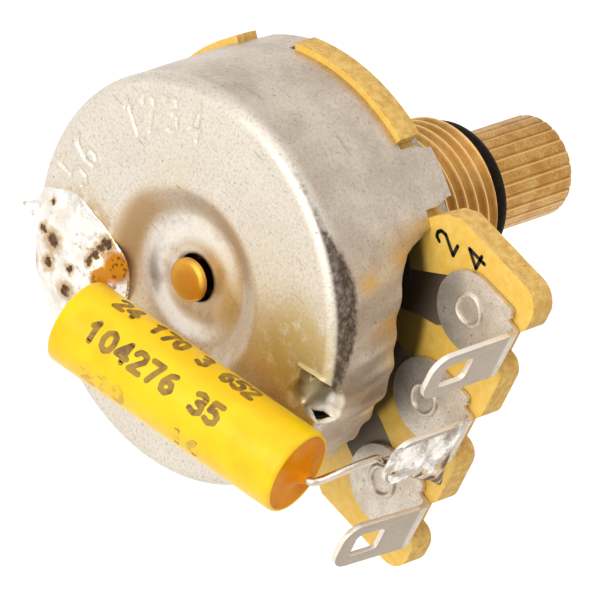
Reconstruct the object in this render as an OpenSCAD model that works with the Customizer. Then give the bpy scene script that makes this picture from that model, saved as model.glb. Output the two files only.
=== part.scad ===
// Rotary potentiometer, 24 mm class, with a tone capacitor soldered across it.
// The pieces are drawn with the shaft along +Z, from the back of the can at height 0,
// and the terminal tongue along +X. The stand module then turns the shaft to +Y and puts
// the origin in the middle of the panel seat, which is the front of the bushing's flange.
// All sizes are millimetres.

/* [View] */

// Which piece to draw

/* [Can] */

// Outer radius of the pressed steel can
can_r = 11.9; // [11:0.05:13]
// Thickness of the can's sheet
can_t = 0.45; // [0.35:0.05:0.6]
// Height of the can's wall, from its back to the board
can_h = 8.3; // [7.5:0.1:10]
// Outside radius of the can's rounded edge
can_edge_r = 1.1; // [0.7:0.1:1.6]
// Radius where the dish in the back begins
dish_r = 5.75; // [5.2:0.05:6.2]
// Radius of the dish's flat floor
dish_floor_r = 4.0; // [3.4:0.05:4.4]
// Depth of the dish
dish_d = 1.15; // [0.8:0.05:1.3]
// Gap round the shaft's rear pin in the can's hole
pin_hole_gap = 0.17; // [0.05:0.01:0.3]
// Height of the wall that stays above the tongue
window_h = 5.15; // [4.8:0.05:6]
// Half angle of the window at its straight edge
window_a = 33.1; // [30:0.1:36]
// Half angle of the window where it meets the board
window_top_a = 48; // [46:0.1:50]

/* [Folded tabs] */

// Angle of the tabs nearer the tongue, from the tongue
tab_near_a = 62; // [58:1:66]
// Angle of the tabs further from the tongue
tab_far_a = 127; // [120:1:134]
// Width of a tab at its root, in degrees
tab_root_w = 19.5; // [16:0.5:22]
// Width of a tab where it folds, in degrees
tab_fold_w = 15; // [12:0.5:17]
// Length of a tab folded over the front plate
tab_reach = 2.0; // [1.4:0.1:2.4]

/* [Lanced stop] */

// One edge of the lanced strip, across the tongue direction
stop_v1 = -2.1; // [-2.4:0.1:-1.6]
// The strip's other edge
stop_v2 = 0.6; // [0.2:0.1:1.2]
// Extra width of the cut beyond the second edge
stop_slot = 0.65; // [0.4:0.05:0.9]
// How far inside the can's wall the cut begins
stop_in = 2.7; // [2.4:0.1:3]
// How deep the strip is pushed into the can
stop_depth = 2.75; // [2.5:0.05:3]

/* [Front plate and bushing] */

// Thickness of the front plate
plate_t = 0.45; // [0.4:0.05:0.8]
// Gap all round between the front plate and the can's tabs
plate_gap = 0.05; // [0.02:0.01:0.1]
// Radius of the bushing's flange
flange_r = 6.6; // [6:0.1:7.5]
// Thickness of the bushing's flange
flange_t = 1.0; // [0.8:0.1:1.4]
// Major radius of the bushing's thread, 3/8 inch
thread_r = 4.7625; // [4.7625]
// Pitch of the thread, 32 to the inch
thread_p = 0.79375; // [0.79375]
// Depth of the thread
thread_d = 0.45; // [0.4:0.01:0.48]
// Flat on each thread crest
thread_land = 0.1; // [0.08:0.01:0.14]
// Length of the bushing in front of the panel seat, 3/8 inch
bush_l = 9.525; // [9.525]
// Chamfer at the bushing's mouth
bush_chamfer = 0.45; // [0.3:0.05:0.6]
// Outer radius of the neck that goes through the plate and the board
neck_r = 3.9; // [3.8:0.05:4.1]
// How far the neck stands behind the board
neck_proud = 0.3; // [0.2:0.05:0.4]

/* [Board] */

// Thickness of the phenolic board
board_t = 1.55; // [1.2:0.05:1.8]
// How far the board's round part stands proud of the can
board_proud = 0.4; // [0.3:0.05:0.7]
// How far the tongue reaches past the rivets
tongue_over = 3.55; // [3.4:0.05:4.2]
// How far the tongue reaches sideways past the outer rivets
tongue_side = 4.15; // [3.7:0.05:4.7]
// Width of each scallop between the lobes
scallop_w = 2.4; // [2:0.1:2.8]
// Depth of each scallop
scallop_d = 1.1; // [0.8:0.1:1.4]
// Corner radius of the lobes
lobe_r = 1.0; // [0.7:0.1:1.1]
// Corner radius at the tongue's two outer corners
tongue_corner_r = 1.4; // [1:0.1:2]

/* [Tracks] */

// Thickness of the printed tracks
track_t = 0.08; // [0.05:0.01:0.1]
// Inner radius of the resistive ring, as a share of the can's inside radius
track_share_1 = 0.646; // [0.62:0.002:0.66]
// Outer radius of the resistive ring, as a share of the can's inside radius
track_share_2 = 0.856; // [0.82:0.002:0.87]
// Half of the gap in the resistive ring, in degrees
track_gap = 32; // [30:1:36]
// Inner radius of the collector ring
collector_r1 = 4.4; // [4.3:0.05:4.6]
// Outer radius of the collector ring
collector_r2 = 5.6; // [5.4:0.05:5.9]
// Half width of the collector's band to the middle terminal
collector_band = 1.2; // [1:0.1:1.4]

/* [Terminals] */

// Distance between neighbouring terminals
term_pitch = 6.8; // [6.6:0.05:7]
// Distance from the can's wall to the line of rivets
term_out = 0.85; // [0.8:0.05:1.1]
// Thickness of the terminals' sheet
term_t = 0.5; // [0.4:0.05:0.6]
// Half width of a terminal's plate, and the radius of its round end
term_plate_r = 2.4; // [2.2:0.05:2.6]
// How far past the rivet the plate steps in to the lug
term_step = 2.6; // [2.45:0.05:2.7]
// Width of the lug
lug_w = 3.1; // [2.8:0.05:3.4]
// Distance from the rivet to the lug's outer face
lug_out = 3.5; // [3.45:0.05:3.85]
// Inside radius of the lug's bend
bend_r = 0.3; // [0.2:0.05:0.4]
// Height of the lug's tip above the can's back plane
lug_tip_h = 1.1; // [0.5:0.1:2]
// Corner radius of the lug's tip
lug_tip_r = 1.1; // [0.8:0.05:1.5]
// Width of the eye in the lug
eye_w = 1.7; // [1.4:0.05:1.9]
// Length of the eye in the lug
eye_l = 2.3; // [2:0.05:2.6]
// Height of the eye's end nearest the tip
eye_h = 2.5; // [2.3:0.1:3.4]
// Corner radius of the eye
eye_r = 0.35; // [0.2:0.05:0.6]
// Radius of a rivet's shank
rivet_r = 0.78; // [0.7:0.01:0.85]
// Radius of a rivet's rolled head
rivet_head_r = 1.05; // [0.95:0.05:1.2]
// Height of the rolled head
rivet_head_h = 0.28; // [0.2:0.02:0.36]
// Radius of the cup in the head
rivet_cup_r = 0.62; // [0.5:0.02:0.66]
// Depth of the cup in the head
rivet_cup_d = 0.6; // [0.4:0.05:0.8]
// Gap between a rivet's shank and its holes
rivet_gap = 0.01; // [0.005:0.005:0.03]

/* [Capacitor] */

// Radius of the capacitor
cap_r = 2.59; // [2.4:0.01:2.7]
// Length of the capacitor
cap_l = 16.3; // [15.5:0.1:17]
// Thickness of its wrapped film sleeve
cap_wrap = 0.12; // [0.08:0.01:0.2]
// Depth of the poured end seals
seal_l = 1.3; // [1:0.1:1.8]
// How far each seal sits inside the sleeve
seal_sink = 0.12; // [0.05:0.01:0.2]
// How far behind the lugs' outer face the capacitor's front end lies
cap_back = 2.59; // [2.2:0.01:3]
// How far the front end's centre lies to the side of the middle terminal
cap_side = 1.37; // [1:0.01:1.8]
// How far the front end reaches above the plane of the can's back
cap_rise = 0.34; // [0:0.01:0.5]
// Slope of the capacitor, away from the can's back, in degrees
cap_tilt = 7.8; // [6:0.1:9]
// Turn of the capacitor about the shaft's direction, in degrees
cap_turn = -8.5; // [-10:0.1:-7]
// Radius of the capacitor's wires
lead_r = 0.31; // [0.28:0.01:0.36]
// Height of the little cone of resin round the front wire
cone_l = 0.7; // [0.4:0.1:1]

/* [Shaft and seal] */

// Radius of the shaft
shaft_r = 3.0; // [3]
// How far the shaft's tip stands in front of the panel seat
shaft_l = 17.6; // [16:0.1:20]
// Running gap between the shaft and the bushing
shaft_gap = 0.03; // [0.02:0.01:0.08]
// Length of the knurled end
knurl_l = 6.6; // [6:0.1:7]
// Number of splines in the knurl
knurl_n = 24; // [24]
// Width of each groove of the knurl
knurl_w = 0.14; // [0.12:0.01:0.19]
// Chamfer at the shaft's tip
tip_chamfer = 0.35; // [0.2:0.05:0.5]
// Radius of the rear pin
pin_r = 1.28; // [1.2:0.01:1.3]
// Height of the pin's end above the can's back plane
pin_h = 0.3; // [0.1:0.1:0.5]
// Depth of the turned groove near the pin's end
pin_groove = 0.12; // [0.08:0.01:0.15]
// Height of the shoulder where the shaft steps down to the pin
shoulder_h = 1.95; // [1.9:0.05:2.2]
// Radius of the seal ring's round section
seal_ring_r = 0.75; // [0.6:0.01:0.8]
// Gap on either side of the seal ring, to the bushing's mouth and to the groove's end
seal_ring_gap = 0.05; // [0.03:0.01:0.1]
// Depth of the shaft's groove for the seal ring
seal_groove_d = 0.2; // [0.1:0.01:0.3]

/* [Rotor] */

// Turning range between the stops, in degrees
travel = 300; // [280:5:300]
// Height of the driver plate's rear face
driver_h = 2.05; // [2:0.05:2.2]
// Thickness of the driver plate
driver_t = 0.9; // [0.8:0.05:1]
// Radius of the driver plate's ring
driver_r = 5.4; // [5:0.1:6]
// Gap between the stop arm's tip and the can's wall
arm_gap = 0.5; // [0.4:0.05:0.7]
// Height of the rotor disc's rear face
disc_h = 3.6; // [3.4:0.1:4]
// Thickness of the rotor disc
disc_t = 1.3; // [1:0.1:1.5]
// Gap between the rotor disc and the can's wall
disc_gap = 2.05; // [1.5:0.05:2.5]
// Thickness of the wiper's spring sheet
wiper_t = 0.2; // [0.15:0.05:0.3]
// Gap between the wiper's contacts and the tracks
wiper_gap = 0.05; // [0.04:0.01:0.1]
// Width of the wiper's two arms
wiper_w = 1.1; // [0.9:0.05:1.3]
// Slope of the wiper's arms, in degrees
wiper_slope = 34; // [30:1:40]
// Height of the wiper's contact buttons
wiper_button = 0.25; // [0.2:0.01:0.3]
// Thickness of the retaining ring
clip_t = 0.5; // [0.4:0.05:0.6]
// Outer radius of the retaining ring
clip_r = 4.1; // [4:0.05:4.2]
// Depth of the retaining ring's groove in the shaft
clip_d = 0.4; // [0.3:0.05:0.5]
// Width of the retaining ring's mouth
clip_mouth = 3.4; // [2.5:0.1:4]
// Gap between the retaining ring and the bushing's neck
clip_gap = 0.05; // [0.03:0.01:0.1]

/* [Hidden] */

$fn = 64;
// Heights of the stack, from the back of the can
board_h = can_h;
plate_h = board_h + board_t;
flange_h = plate_h + plate_t;
seat_h = flange_h + flange_t;
mouth_h = seat_h + bush_l;
tip_h = seat_h + shaft_l;
neck_h = board_h - neck_proud;
tab_h = plate_h + plate_t + can_t;
track_h = board_h - track_t;
term_h = track_h - term_t;
can_in_r = can_r - can_t;
pin_hole_r = pin_r + pin_hole_gap;
window_half = can_r * sin(window_a);
window_top_half = can_r * sin(window_top_a);
stop_u = can_r - stop_in;
// Places that follow the can's wall
board_r = can_r + board_proud;
term_u = can_r + term_out;
term_step_u = term_u + term_step;
lug_u = term_u + lug_out;
tongue_u = term_u + tongue_over;
tongue_half = term_pitch + tongue_side;
track_r1 = track_share_1 * can_in_r;
track_r2 = track_share_2 * can_in_r;
disc_r = can_in_r - disc_gap;
// Angles of the four tabs
tab_angles = [-tab_far_a, -tab_near_a, tab_near_a, tab_far_a];
// The stop strip as the arm meets it, and the arm that leaves the wanted travel
stop_meet_r = stop_u + 0.2;
stop_a1 = asin(stop_v1 / stop_meet_r);
stop_a2 = asin(stop_v2 / stop_meet_r);
arm_half = (360 - travel - (stop_a2 - stop_a1)) / 2 - 0.1;
arm_mid = 180 + (stop_a1 + stop_a2) / 2;
arm_r = can_in_r - arm_gap;
// Fits
neck_hole_r = neck_r + 0.01;
press_r = shaft_r + 0.005;
clip_h = neck_h - clip_gap - clip_t;
seal_ring_h = mouth_h + seal_ring_gap + seal_ring_r;
seal_groove_r = shaft_r - seal_groove_d;
seal_groove_h = mouth_h + 2 * (seal_ring_gap + seal_ring_r);
wiper_h = disc_h + disc_t;
wiper_rise = track_h - wiper_gap - wiper_h;
arm_rise = wiper_rise - wiper_t - wiper_button;
cap_in_r = cap_r - cap_wrap;
cap_end = [lug_u - cap_back, cap_side, cap_rise - cap_r];
seal_front = -seal_sink;
seal_rear = -cap_l + seal_sink;

// Colours as the photograph shows them
steel = "#b9b2a8";
brass = "#b8862f";
phenolic = "#d9a93a";
silver_ink = "#857d74";
carbon = "#2b2825";
tin = "#aaa49a";
film = "#f4d50a";
resin = "#d98a10";
rubber = "#1c1a18";
solder = "#cfcac0";

// Turns a piece from its drawing position, so that the shaft lies along +Y
module stand() {
    rotate([-90, 0, 0]) translate([0, 0, -seat_h]) children();
}

// Puts things into the capacitor's own frame: +X out of its front end
module at_cap() {
    translate(cap_end) rotate([0, -cap_tilt, cap_turn]) children();
}

// A ring sector between two radii and two angles
module sector(r1, r2, a1, a2, h, t) {
    translate([0, 0, h]) rotate([0, 0, a1])
        rotate_extrude(angle = a2 - a1)
            translate([r1, 0]) square([r2 - r1, t]);
}

// A flat plate with a square corner taken off to a radius, as a cutter
module corner_cut(r) {
    difference() {
        translate([-0.01, -0.01]) square(r + 0.02);
        circle(r);
    }
}

// The pressed can

// Outside edge of the can's section, from the hole to the rim, moved in by d
function can_line(d) = let (
        re = can_edge_r - d,
        cx = can_r - can_edge_r,
        slope = atan2(dish_d, dish_r - dish_floor_r),
        shift = d * tan(slope / 2)
    ) concat(
        [[pin_hole_r, dish_d + d], [dish_floor_r - shift - 0.15, dish_d + d]],
        [[dish_floor_r - shift + 0.1, dish_d + d - 0.08]],
        [[dish_r - shift - 0.2, d + 0.1], [dish_r - shift + 0.15, d]],
        [for (a = [-90 : 15 : 0]) [cx + re * cos(a), can_edge_r + re * sin(a)]]
    );

// The can before its cuts: the tabs' fold runs all the way round
module can_blank() {
    outer = can_line(0);
    inner = can_line(can_t);
    n = len(inner);
    rotate_extrude($fn = 96) polygon(concat(
        outer,
        [[can_r, tab_h - 0.35], [can_r - 0.1, tab_h - 0.1], [can_r - 0.35, tab_h]],
        [[can_in_r - tab_reach, tab_h], [can_in_r - tab_reach, tab_h - can_t]],
        [[can_in_r, tab_h - can_t]],
        [for (i = [1 : n - 1]) inner[n - 1 - i]]
    ));
}

// The opening over the tongue, with sloping ends
module tongue_window() {
    side = window_top_half - window_half;
    rise = can_h - window_h;
    half = [
        [window_half, window_h], [window_half + 0.49 * side, window_h + 0.16 * rise],
        [window_half + 0.72 * side, window_h + 0.33 * rise],
        [window_half + 0.89 * side, window_h + 0.67 * rise],
        [window_top_half, can_h + 0.3 * rise]
    ];
    n = len(half);
    translate([can_r / 3, 0, 0]) rotate([90, 0, 90])
        linear_extrude(height = can_r)
            polygon(concat(half, [for (i = [0 : n - 1]) [-half[n - 1 - i][0], half[n - 1 - i][1]]]));
}

// Everything between two tabs from height h up, for tabs w degrees wide
module tab_gaps(w, h) {
    n = len(tab_angles);
    for (i = [0 : n - 1]) {
        a1 = tab_angles[i] + w / 2;
        a2 = (i == n - 1 ? tab_angles[0] + 360 : tab_angles[i + 1]) - w / 2;
        far = 2 * can_r;
        translate([0, 0, h]) linear_extrude(height = can_h)
            polygon(concat([[0, 0]], [for (k = [0 : 4]) let (a = a1 + k * (a2 - a1) / 4)
                [far * cos(a), far * sin(a)]]));
    }
}

// Section of the lanced strip: down from the back, along, and out to the wall
module stop_strip() {
    root = stop_u - 0.18 * stop_in;
    knee = stop_u + stop_in / 3;
    foot = stop_u + 0.55 * stop_in;
    translate([0, stop_v2, 0]) rotate([90, 0, 0])
        linear_extrude(height = stop_v2 - stop_v1)
            polygon([
                [root, 0], [stop_u, 0], [knee, 0.78 * stop_depth],
                [foot, stop_depth], [can_r, stop_depth], [can_r, stop_depth + can_t],
                [foot - 0.45 * can_t, stop_depth + can_t],
                [knee - 0.78 * can_t, 0.78 * stop_depth + 0.67 * can_t],
                [stop_u - 0.55 * can_t, can_t], [root, can_t]
            ]);
}

module can() {
    color(steel) stand() {
        difference() {
            can_blank();
            tab_gaps(tab_root_w, can_h);
            tab_gaps(tab_fold_w, plate_h - 0.1);
            tongue_window();
            translate([stop_u, stop_v1, -1])
                cube([2 * stop_in, stop_v2 - stop_v1 + stop_slot, 1 + stop_depth]);
        }
        intersection() {
            stop_strip();
            translate([0, 0, -1]) cylinder(r = can_r - 0.01, h = can_h, $fn = 96);
        }
    }
}

// Front plate and bushing

module front_plate() {
    color(steel) stand() translate([0, 0, plate_h]) difference() {
        cylinder(r = can_in_r - plate_gap, h = plate_t, $fn = 96);
        translate([0, 0, -1]) cylinder(r = neck_hole_r, h = plate_t + 2);
    }
}

// Rings of the real pitch and depth stand for the helical thread
module bushing() {
    turns = floor((bush_l - bush_chamfer) / thread_p);
    v = (thread_p - thread_land) / 2;
    grooves = [for (i = [0 : turns - 1], k = [0 : 2])
        [thread_r - (k == 1 ? thread_d : 0), seat_h + 0.12 + i * thread_p + k * v]];
    bore_r = shaft_r + shaft_gap;
    color(brass) stand() rotate_extrude() polygon(concat(
        [[bore_r, neck_h], [neck_r, neck_h], [neck_r, flange_h]],
        [[flange_r - 0.15, flange_h], [flange_r, flange_h + 0.15]],
        [[flange_r, seat_h - 0.15], [flange_r - 0.15, seat_h], [thread_r, seat_h]],
        grooves,
        [[thread_r, mouth_h - bush_chamfer], [thread_r - bush_chamfer, mouth_h]],
        [[bore_r + 0.2, mouth_h], [bore_r, mouth_h - 0.2]]
    ));
}

// Board and tracks

function term_v(i) = (i - 2) * term_pitch;

module board_outline() {
    side = 0.79 * board_r;
    waist = 0.593 * board_r;
    shoulder = waist + tongue_half - side + 0.07 * board_r;
    difference() {
        union() {
            circle(r = board_r, $fn = 96);
            difference() {
                polygon([
                    [0, -side], [waist, -side], [shoulder, -tongue_half], [tongue_u, -tongue_half],
                    [tongue_u, tongue_half], [shoulder, tongue_half], [waist, side], [0, side]
                ]);
                for (s = [-1, 1])
                    translate([tongue_u - tongue_corner_r, s * (tongue_half - tongue_corner_r)])
                        scale([1, s]) corner_cut(tongue_corner_r);
                for (i = [1 : 3], s = [-1, 1])
                    translate([tongue_u - lobe_r, term_v(i) + s * (scallop_w / 2 + lobe_r)])
                        scale([1, -s]) corner_cut(lobe_r);
                for (i = [1 : 3])
                    translate([tongue_u - scallop_d, term_v(i) - scallop_w / 2])
                        square([scallop_d + 1, scallop_w]);
            }
        }
        circle(r = neck_hole_r);
        for (i = [1 : 3]) translate([term_u, term_v(i)]) circle(r = rivet_r + rivet_gap);
    }
}

module element_board() {
    clear = 1.2;
    color(phenolic) stand() difference() {
        translate([0, 0, board_h]) linear_extrude(height = board_t) board_outline();
        for (a = tab_angles)
            sector(can_in_r - 0.02, board_r + 2, a - tab_root_w / 2 - clear,
                a + tab_root_w / 2 + clear, board_h - 1, board_t + 2);
    }
}

module resistive_track() {
    color(carbon) stand()
        sector(track_r1, track_r2, track_gap, 360 - track_gap, track_h, track_t);
}

// Silver band from one end of the ring to its terminal
module end_lead(i) {
    s = sign(term_v(i));
    near = track_gap - 10;
    from = 0.86 * track_r2;
    color(silver_ink) stand() translate([0, 0, track_h]) difference() {
        union() {
            linear_extrude(height = track_t) difference() {
                polygon([
                    [from, s * 0.51 * term_pitch], [track_r2, s * 0.55 * term_pitch],
                    [term_u - term_plate_r, s * 0.64 * term_pitch],
                    [term_u, s * (term_pitch - 0.6 * term_plate_r)],
                    [term_u, s * (term_pitch + 0.6 * term_plate_r)],
                    [term_u - 0.6 * term_plate_r, s * (term_pitch + 0.4 * term_plate_r)],
                    [from, s * 0.97 * term_pitch]
                ]);
                circle(r = track_r2);
            }
            translate([term_u, term_v(i), 0]) cylinder(r = term_plate_r - 0.2, h = track_t);
            sector(track_r1, track_r2 + 0.05, s > 0 ? near : -track_gap,
                s > 0 ? track_gap : -near, 0, track_t);
        }
        translate([term_u, term_v(i), -1]) cylinder(r = rivet_r + rivet_gap, h = track_t + 2);
    }
}

module track_lead_1() {
    end_lead(1);
}

module track_lead_3() {
    end_lead(3);
}

module collector_track() {
    color(silver_ink) stand() translate([0, 0, track_h]) difference() {
        union() {
            cylinder(r = collector_r2, h = track_t);
            translate([collector_r1, -collector_band, 0])
                cube([term_u - collector_r1, 2 * collector_band, track_t]);
            translate([term_u, 0, 0]) cylinder(r = term_plate_r - 0.2, h = track_t);
        }
        translate([0, 0, -1]) cylinder(r = collector_r1, h = track_t + 2);
        translate([term_u, 0, -1]) cylinder(r = rivet_r + rivet_gap, h = track_t + 2);
    }
}

// Terminals and rivets

// The lug's outline, standing in the Y-Z plane: tip corners and the eye
module lug_outline() {
    top = term_h - bend_r;
    half = lug_w / 2;
    difference() {
        translate([-half, lug_tip_h]) square([lug_w, top - lug_tip_h]);
        for (s = [-1, 1])
            translate([s * (half - lug_tip_r), lug_tip_h + lug_tip_r])
                scale([s, -1]) corner_cut(lug_tip_r);
        difference() {
            translate([-eye_w / 2, eye_h]) square([eye_w, eye_l]);
            for (s = [-1, 1], q = [0, 1])
                translate([s * (eye_w / 2 - eye_r), eye_h + (q ? eye_l - eye_r : eye_r)])
                    scale([s, q ? 1 : -1]) corner_cut(eye_r);
        }
    }
}

module terminal_shape() {
    relief_r = 0.28 * term_t;
    bend_u = lug_u - term_t - bend_r;
    difference() {
        union() {
            translate([term_u, 0, term_h]) cylinder(r = term_plate_r, h = term_t);
            translate([term_u, -term_plate_r, term_h])
                cube([term_step_u - term_u, 2 * term_plate_r, term_t]);
            translate([term_step_u - 0.1, -lug_w / 2, term_h])
                cube([bend_u - term_step_u + 0.1, lug_w, term_t]);
        }
        translate([term_u, 0, term_h - 1]) cylinder(r = rivet_r + rivet_gap, h = term_t + 2);
        for (s = [-1, 1])
            translate([term_step_u, s * (lug_w / 2 + relief_r), term_h - 1])
                cylinder(r = relief_r, h = term_t + 2, $fn = 24);
    }
    translate([bend_u, lug_w / 2, term_h - bend_r]) rotate([90, 0, 0])
        rotate_extrude(angle = 90) translate([bend_r, 0]) square([term_t, lug_w]);
    translate([lug_u - term_t, 0, 0]) rotate([90, 0, 90])
        linear_extrude(height = term_t) lug_outline();
}

module terminal(i) {
    color(tin) stand() translate([0, term_v(i), 0]) terminal_shape();
}

module terminal_1() {
    terminal(1);
}

module terminal_2() {
    terminal(2);
}

module terminal_3() {
    terminal(3);
}

// A rivet with a rolled, cupped head on the terminal and a flat head in front
module rivet(i) {
    top = term_h - rivet_head_h;
    color(tin) stand() translate([term_u, term_v(i), 0]) rotate_extrude()
        polygon([
            [0, top + rivet_cup_d], [rivet_cup_r, top + rivet_cup_d], [rivet_cup_r, top + 0.12],
            [rivet_cup_r + 0.1, top], [rivet_head_r - 0.14, top], [rivet_head_r, top + 0.14],
            [rivet_head_r, term_h], [rivet_r, term_h], [rivet_r, plate_h],
            [rivet_head_r, plate_h], [rivet_head_r, plate_h + 0.2], [rivet_head_r - 0.12, plate_h + 0.3],
            [0, plate_h + 0.3]
        ]);
}

module rivet_1() {
    rivet(1);
}

module rivet_2() {
    rivet(2);
}

module rivet_3() {
    rivet(3);
}

// Capacitor

// A round bar along +X from a to b in the capacitor's frame
module cap_bar(r, a, b) {
    translate([a, 0, 0]) rotate([0, 90, 0]) cylinder(r = r, h = b - a);
}

module cap_winding() {
    color(film) stand() at_cap() cap_bar(cap_in_r, seal_rear + seal_l, seal_front - seal_l);
}

module cap_sleeve() {
    color(film) stand() at_cap() difference() {
        cap_bar(cap_r, -cap_l, 0);
        cap_bar(cap_in_r, -cap_l - 1, 1);
    }
}

// The lead leaves the front end with a little cone of resin round it
module cap_seal_front() {
    color(resin) stand() at_cap() difference() {
        union() {
            cap_bar(cap_in_r, seal_front - seal_l, seal_front);
            translate([seal_front, 0, 0]) rotate([0, 90, 0])
                cylinder(r1 = lead_r + 0.45, r2 = lead_r + 0.08, h = cone_l);
        }
        cap_bar(lead_r, seal_front - seal_l - 1, 3);
    }
}

module cap_seal_rear() {
    color(resin) stand() at_cap() difference() {
        cap_bar(cap_in_r, seal_rear, seal_rear + seal_l);
        cap_bar(lead_r, seal_rear - 1, seal_rear + seal_l + 1);
    }
}

// A smooth curve through points, by cubic pieces
function piece(a, b, c, d, t) = 0.5 * (
    2 * b + (c - a) * t + (2 * a - 5 * b + 4 * c - d) * t * t
    + (3 * b - a - 3 * c + d) * t * t * t
);
function curve(p, steps) = let (n = len(p)) concat(
    [p[0]],
    [for (i = [1 : n - 2], k = [0 : steps - 1])
        piece(p[i - 1], p[i], p[i + 1], p[min(i + 2, n - 1)], k / steps)],
    [p[n - 1]]
);

// A wire: straight to the second point, then a smooth bend through the rest
module wire(points) {
    path = curve(points, 5);
    for (i = [0 : len(path) - 2]) hull() {
        translate(path[i]) sphere(r = lead_r, $fn = 16);
        translate(path[i + 1]) sphere(r = lead_r, $fn = 16);
    }
}

// Direction of the capacitor's axis, out of its front end
cap_dir = [
    cos(cap_tilt) * cos(cap_turn), cos(cap_tilt) * sin(cap_turn), sin(cap_tilt)
];
front_start = cap_end + (seal_front - seal_l + lead_r) * cap_dir;
front_exit = cap_end + (cone_l + 0.1) * cap_dir;
rear_start = cap_end + (seal_rear + seal_l - lead_r) * cap_dir;
rear_exit = cap_end + (seal_rear - 2.26 * lead_r) * cap_dir;
// The front wire ends just inside the middle lug's tip
lug_in_u = lug_u - term_t - lead_r - 0.05;
front_wire = [
    front_start, front_exit, front_exit + lead_r * [1.8, -2.1, 3.7],
    [lug_in_u, -0.65 * lead_r, lug_tip_h - 2.9 * lead_r],
    [lug_in_u, -0.97 * lead_r, lug_tip_h + 1.6 * lead_r]
];
rear_wire = [
    rear_start, rear_exit, rear_exit + lead_r * [-2.4, 0.5, 1.8],
    rear_exit + lead_r * [-3.5, 0.8, 5.2],
    [rear_exit[0] - 3.5 * lead_r, rear_exit[1] + lead_r, -2.4 * lead_r]
];

module cap_lead_lug() {
    color(tin) stand() wire(front_wire);
}

module cap_lead_can() {
    color(tin) stand() wire(rear_wire);
}

// Solder

// A flattened ball of solder; place and radius are shares of the can's radius
module dollop(p, r, flat) {
    translate(can_r * p) scale([1, 1, flat]) sphere(r = can_r * r, $fn = 24);
}

// A drop of solder on the middle lug, across, along and up from the lug's tip
module drop(out, across, up, r) {
    translate([lug_u - out * term_t, across, lug_tip_h + up]) sphere(r = r * term_t, $fn = 20);
}

// Solder over the middle lug's outer face, through its eye and over its tip
module solder_lug() {
    w = lug_w / 2;
    lug_l = term_h - lug_tip_h;
    color(solder) stand() difference() {
        hull() {
            drop(0.4, 0.2 * term_t - w, 0.14 * lug_l, 0.9);
            drop(0.4, w - 0.2 * term_t, 0.14 * lug_l, 0.9);
            drop(0.7, -0.4 * term_t, 0.02 * lug_l, 0.9);
            drop(0.1, 0.6 * term_t - w, 0.89 * lug_l, 0.6);
            drop(0.3, w + 3.8 * term_t, 1.01 * lug_l, 0.56);
            drop(0.3, w + 0.7 * term_t, 0.48 * lug_l, 0.6);
        }
        terminal_shape();
        translate([lug_u - term_t - can_r, -can_r, -can_r]) cube([can_r, 2 * can_r, 2 * can_r]);
    }
}

// The mound that holds the rear wire to the can's back, with a drawn-up spike at the edge
module solder_can() {
    link = rear_exit + lead_r * [-2.6, 0.65, 0];
    color(solder) stand() difference() {
        union() {
            hull() {
                dollop([-0.706, 0.269, -0.008], 0.151, 0.5);
                dollop([-0.857, 0.277, 0.008], 0.101, 0.5);
                dollop([-0.605, 0.622, 0.008], 0.134, 0.5);
                dollop([-0.387, 0.303, -0.008], 0.118, 0.6);
                dollop([-0.361, 0.471, -0.025], 0.126, 0.7);
            }
            hull() {
                dollop([-0.866, 0.328, 0], 0.076, 0.6);
                dollop([-0.987, 0.399, -0.021], 0.012, 1);
            }
            hull() {
                translate([link[0], link[1], -3.9 * lead_r]) sphere(r = 2.4 * lead_r, $fn = 24);
                dollop([-0.370, 0.387, -0.017], 0.126, 0.8);
            }
        }
        rotate_extrude($fn = 96)
            polygon(concat([[0, dish_d]], can_line(0), [[can_r, can_h], [0, can_h]]));
        at_cap() cap_bar(cap_r + 0.02, -cap_l - 0.01, 2);
        wire(rear_wire);
    }
}

// The turning parts

module shaft() {
    color(brass) stand() difference() {
        rotate_extrude() polygon([
            [0, pin_h], [pin_r - 0.12, pin_h], [pin_r, pin_h + 0.12], [pin_r, pin_h + 0.5],
            [pin_r - pin_groove, pin_h + 0.6], [pin_r - pin_groove, pin_h + 0.8],
            [pin_r, pin_h + 0.9], [pin_r, shoulder_h], [shaft_r - 0.1, shoulder_h],
            [shaft_r, shoulder_h + 0.1], [shaft_r, clip_h], [shaft_r - clip_d, clip_h],
            [shaft_r - clip_d, clip_h + clip_t], [shaft_r, clip_h + clip_t],
            [shaft_r, mouth_h], [seal_groove_r, mouth_h], [seal_groove_r, seal_groove_h],
            [shaft_r, seal_groove_h], [shaft_r, tip_h - tip_chamfer],
            [shaft_r - tip_chamfer, tip_h], [0, tip_h]
        ]);
        for (i = [0 : knurl_n - 1]) rotate([0, 0, i * 360 / knurl_n])
            translate([shaft_r, 0, tip_h - knurl_l]) rotate([0, 0, 45])
                translate([-knurl_w * 0.74, -knurl_w * 0.74, 0])
                    cube([knurl_w * 1.48, knurl_w * 1.48, knurl_l + 1]);
    }
}

module o_ring() {
    color(rubber) stand() translate([0, 0, seal_ring_h]) rotate_extrude()
        translate([seal_groove_r + 0.005 + seal_ring_r, 0]) circle(r = seal_ring_r, $fn = 32);
}

// An open ring snapped into the shaft's groove
module retaining_ring() {
    color(steel) stand() translate([0, 0, clip_h + 0.01]) difference() {
        cylinder(r = clip_r, h = clip_t - 0.02);
        translate([0, 0, -1]) cylinder(r = shaft_r - clip_d + 0.01, h = 3);
        translate([0, -clip_mouth / 2, -1]) cube([2 * clip_r, clip_mouth, 3]);
    }
}

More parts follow.
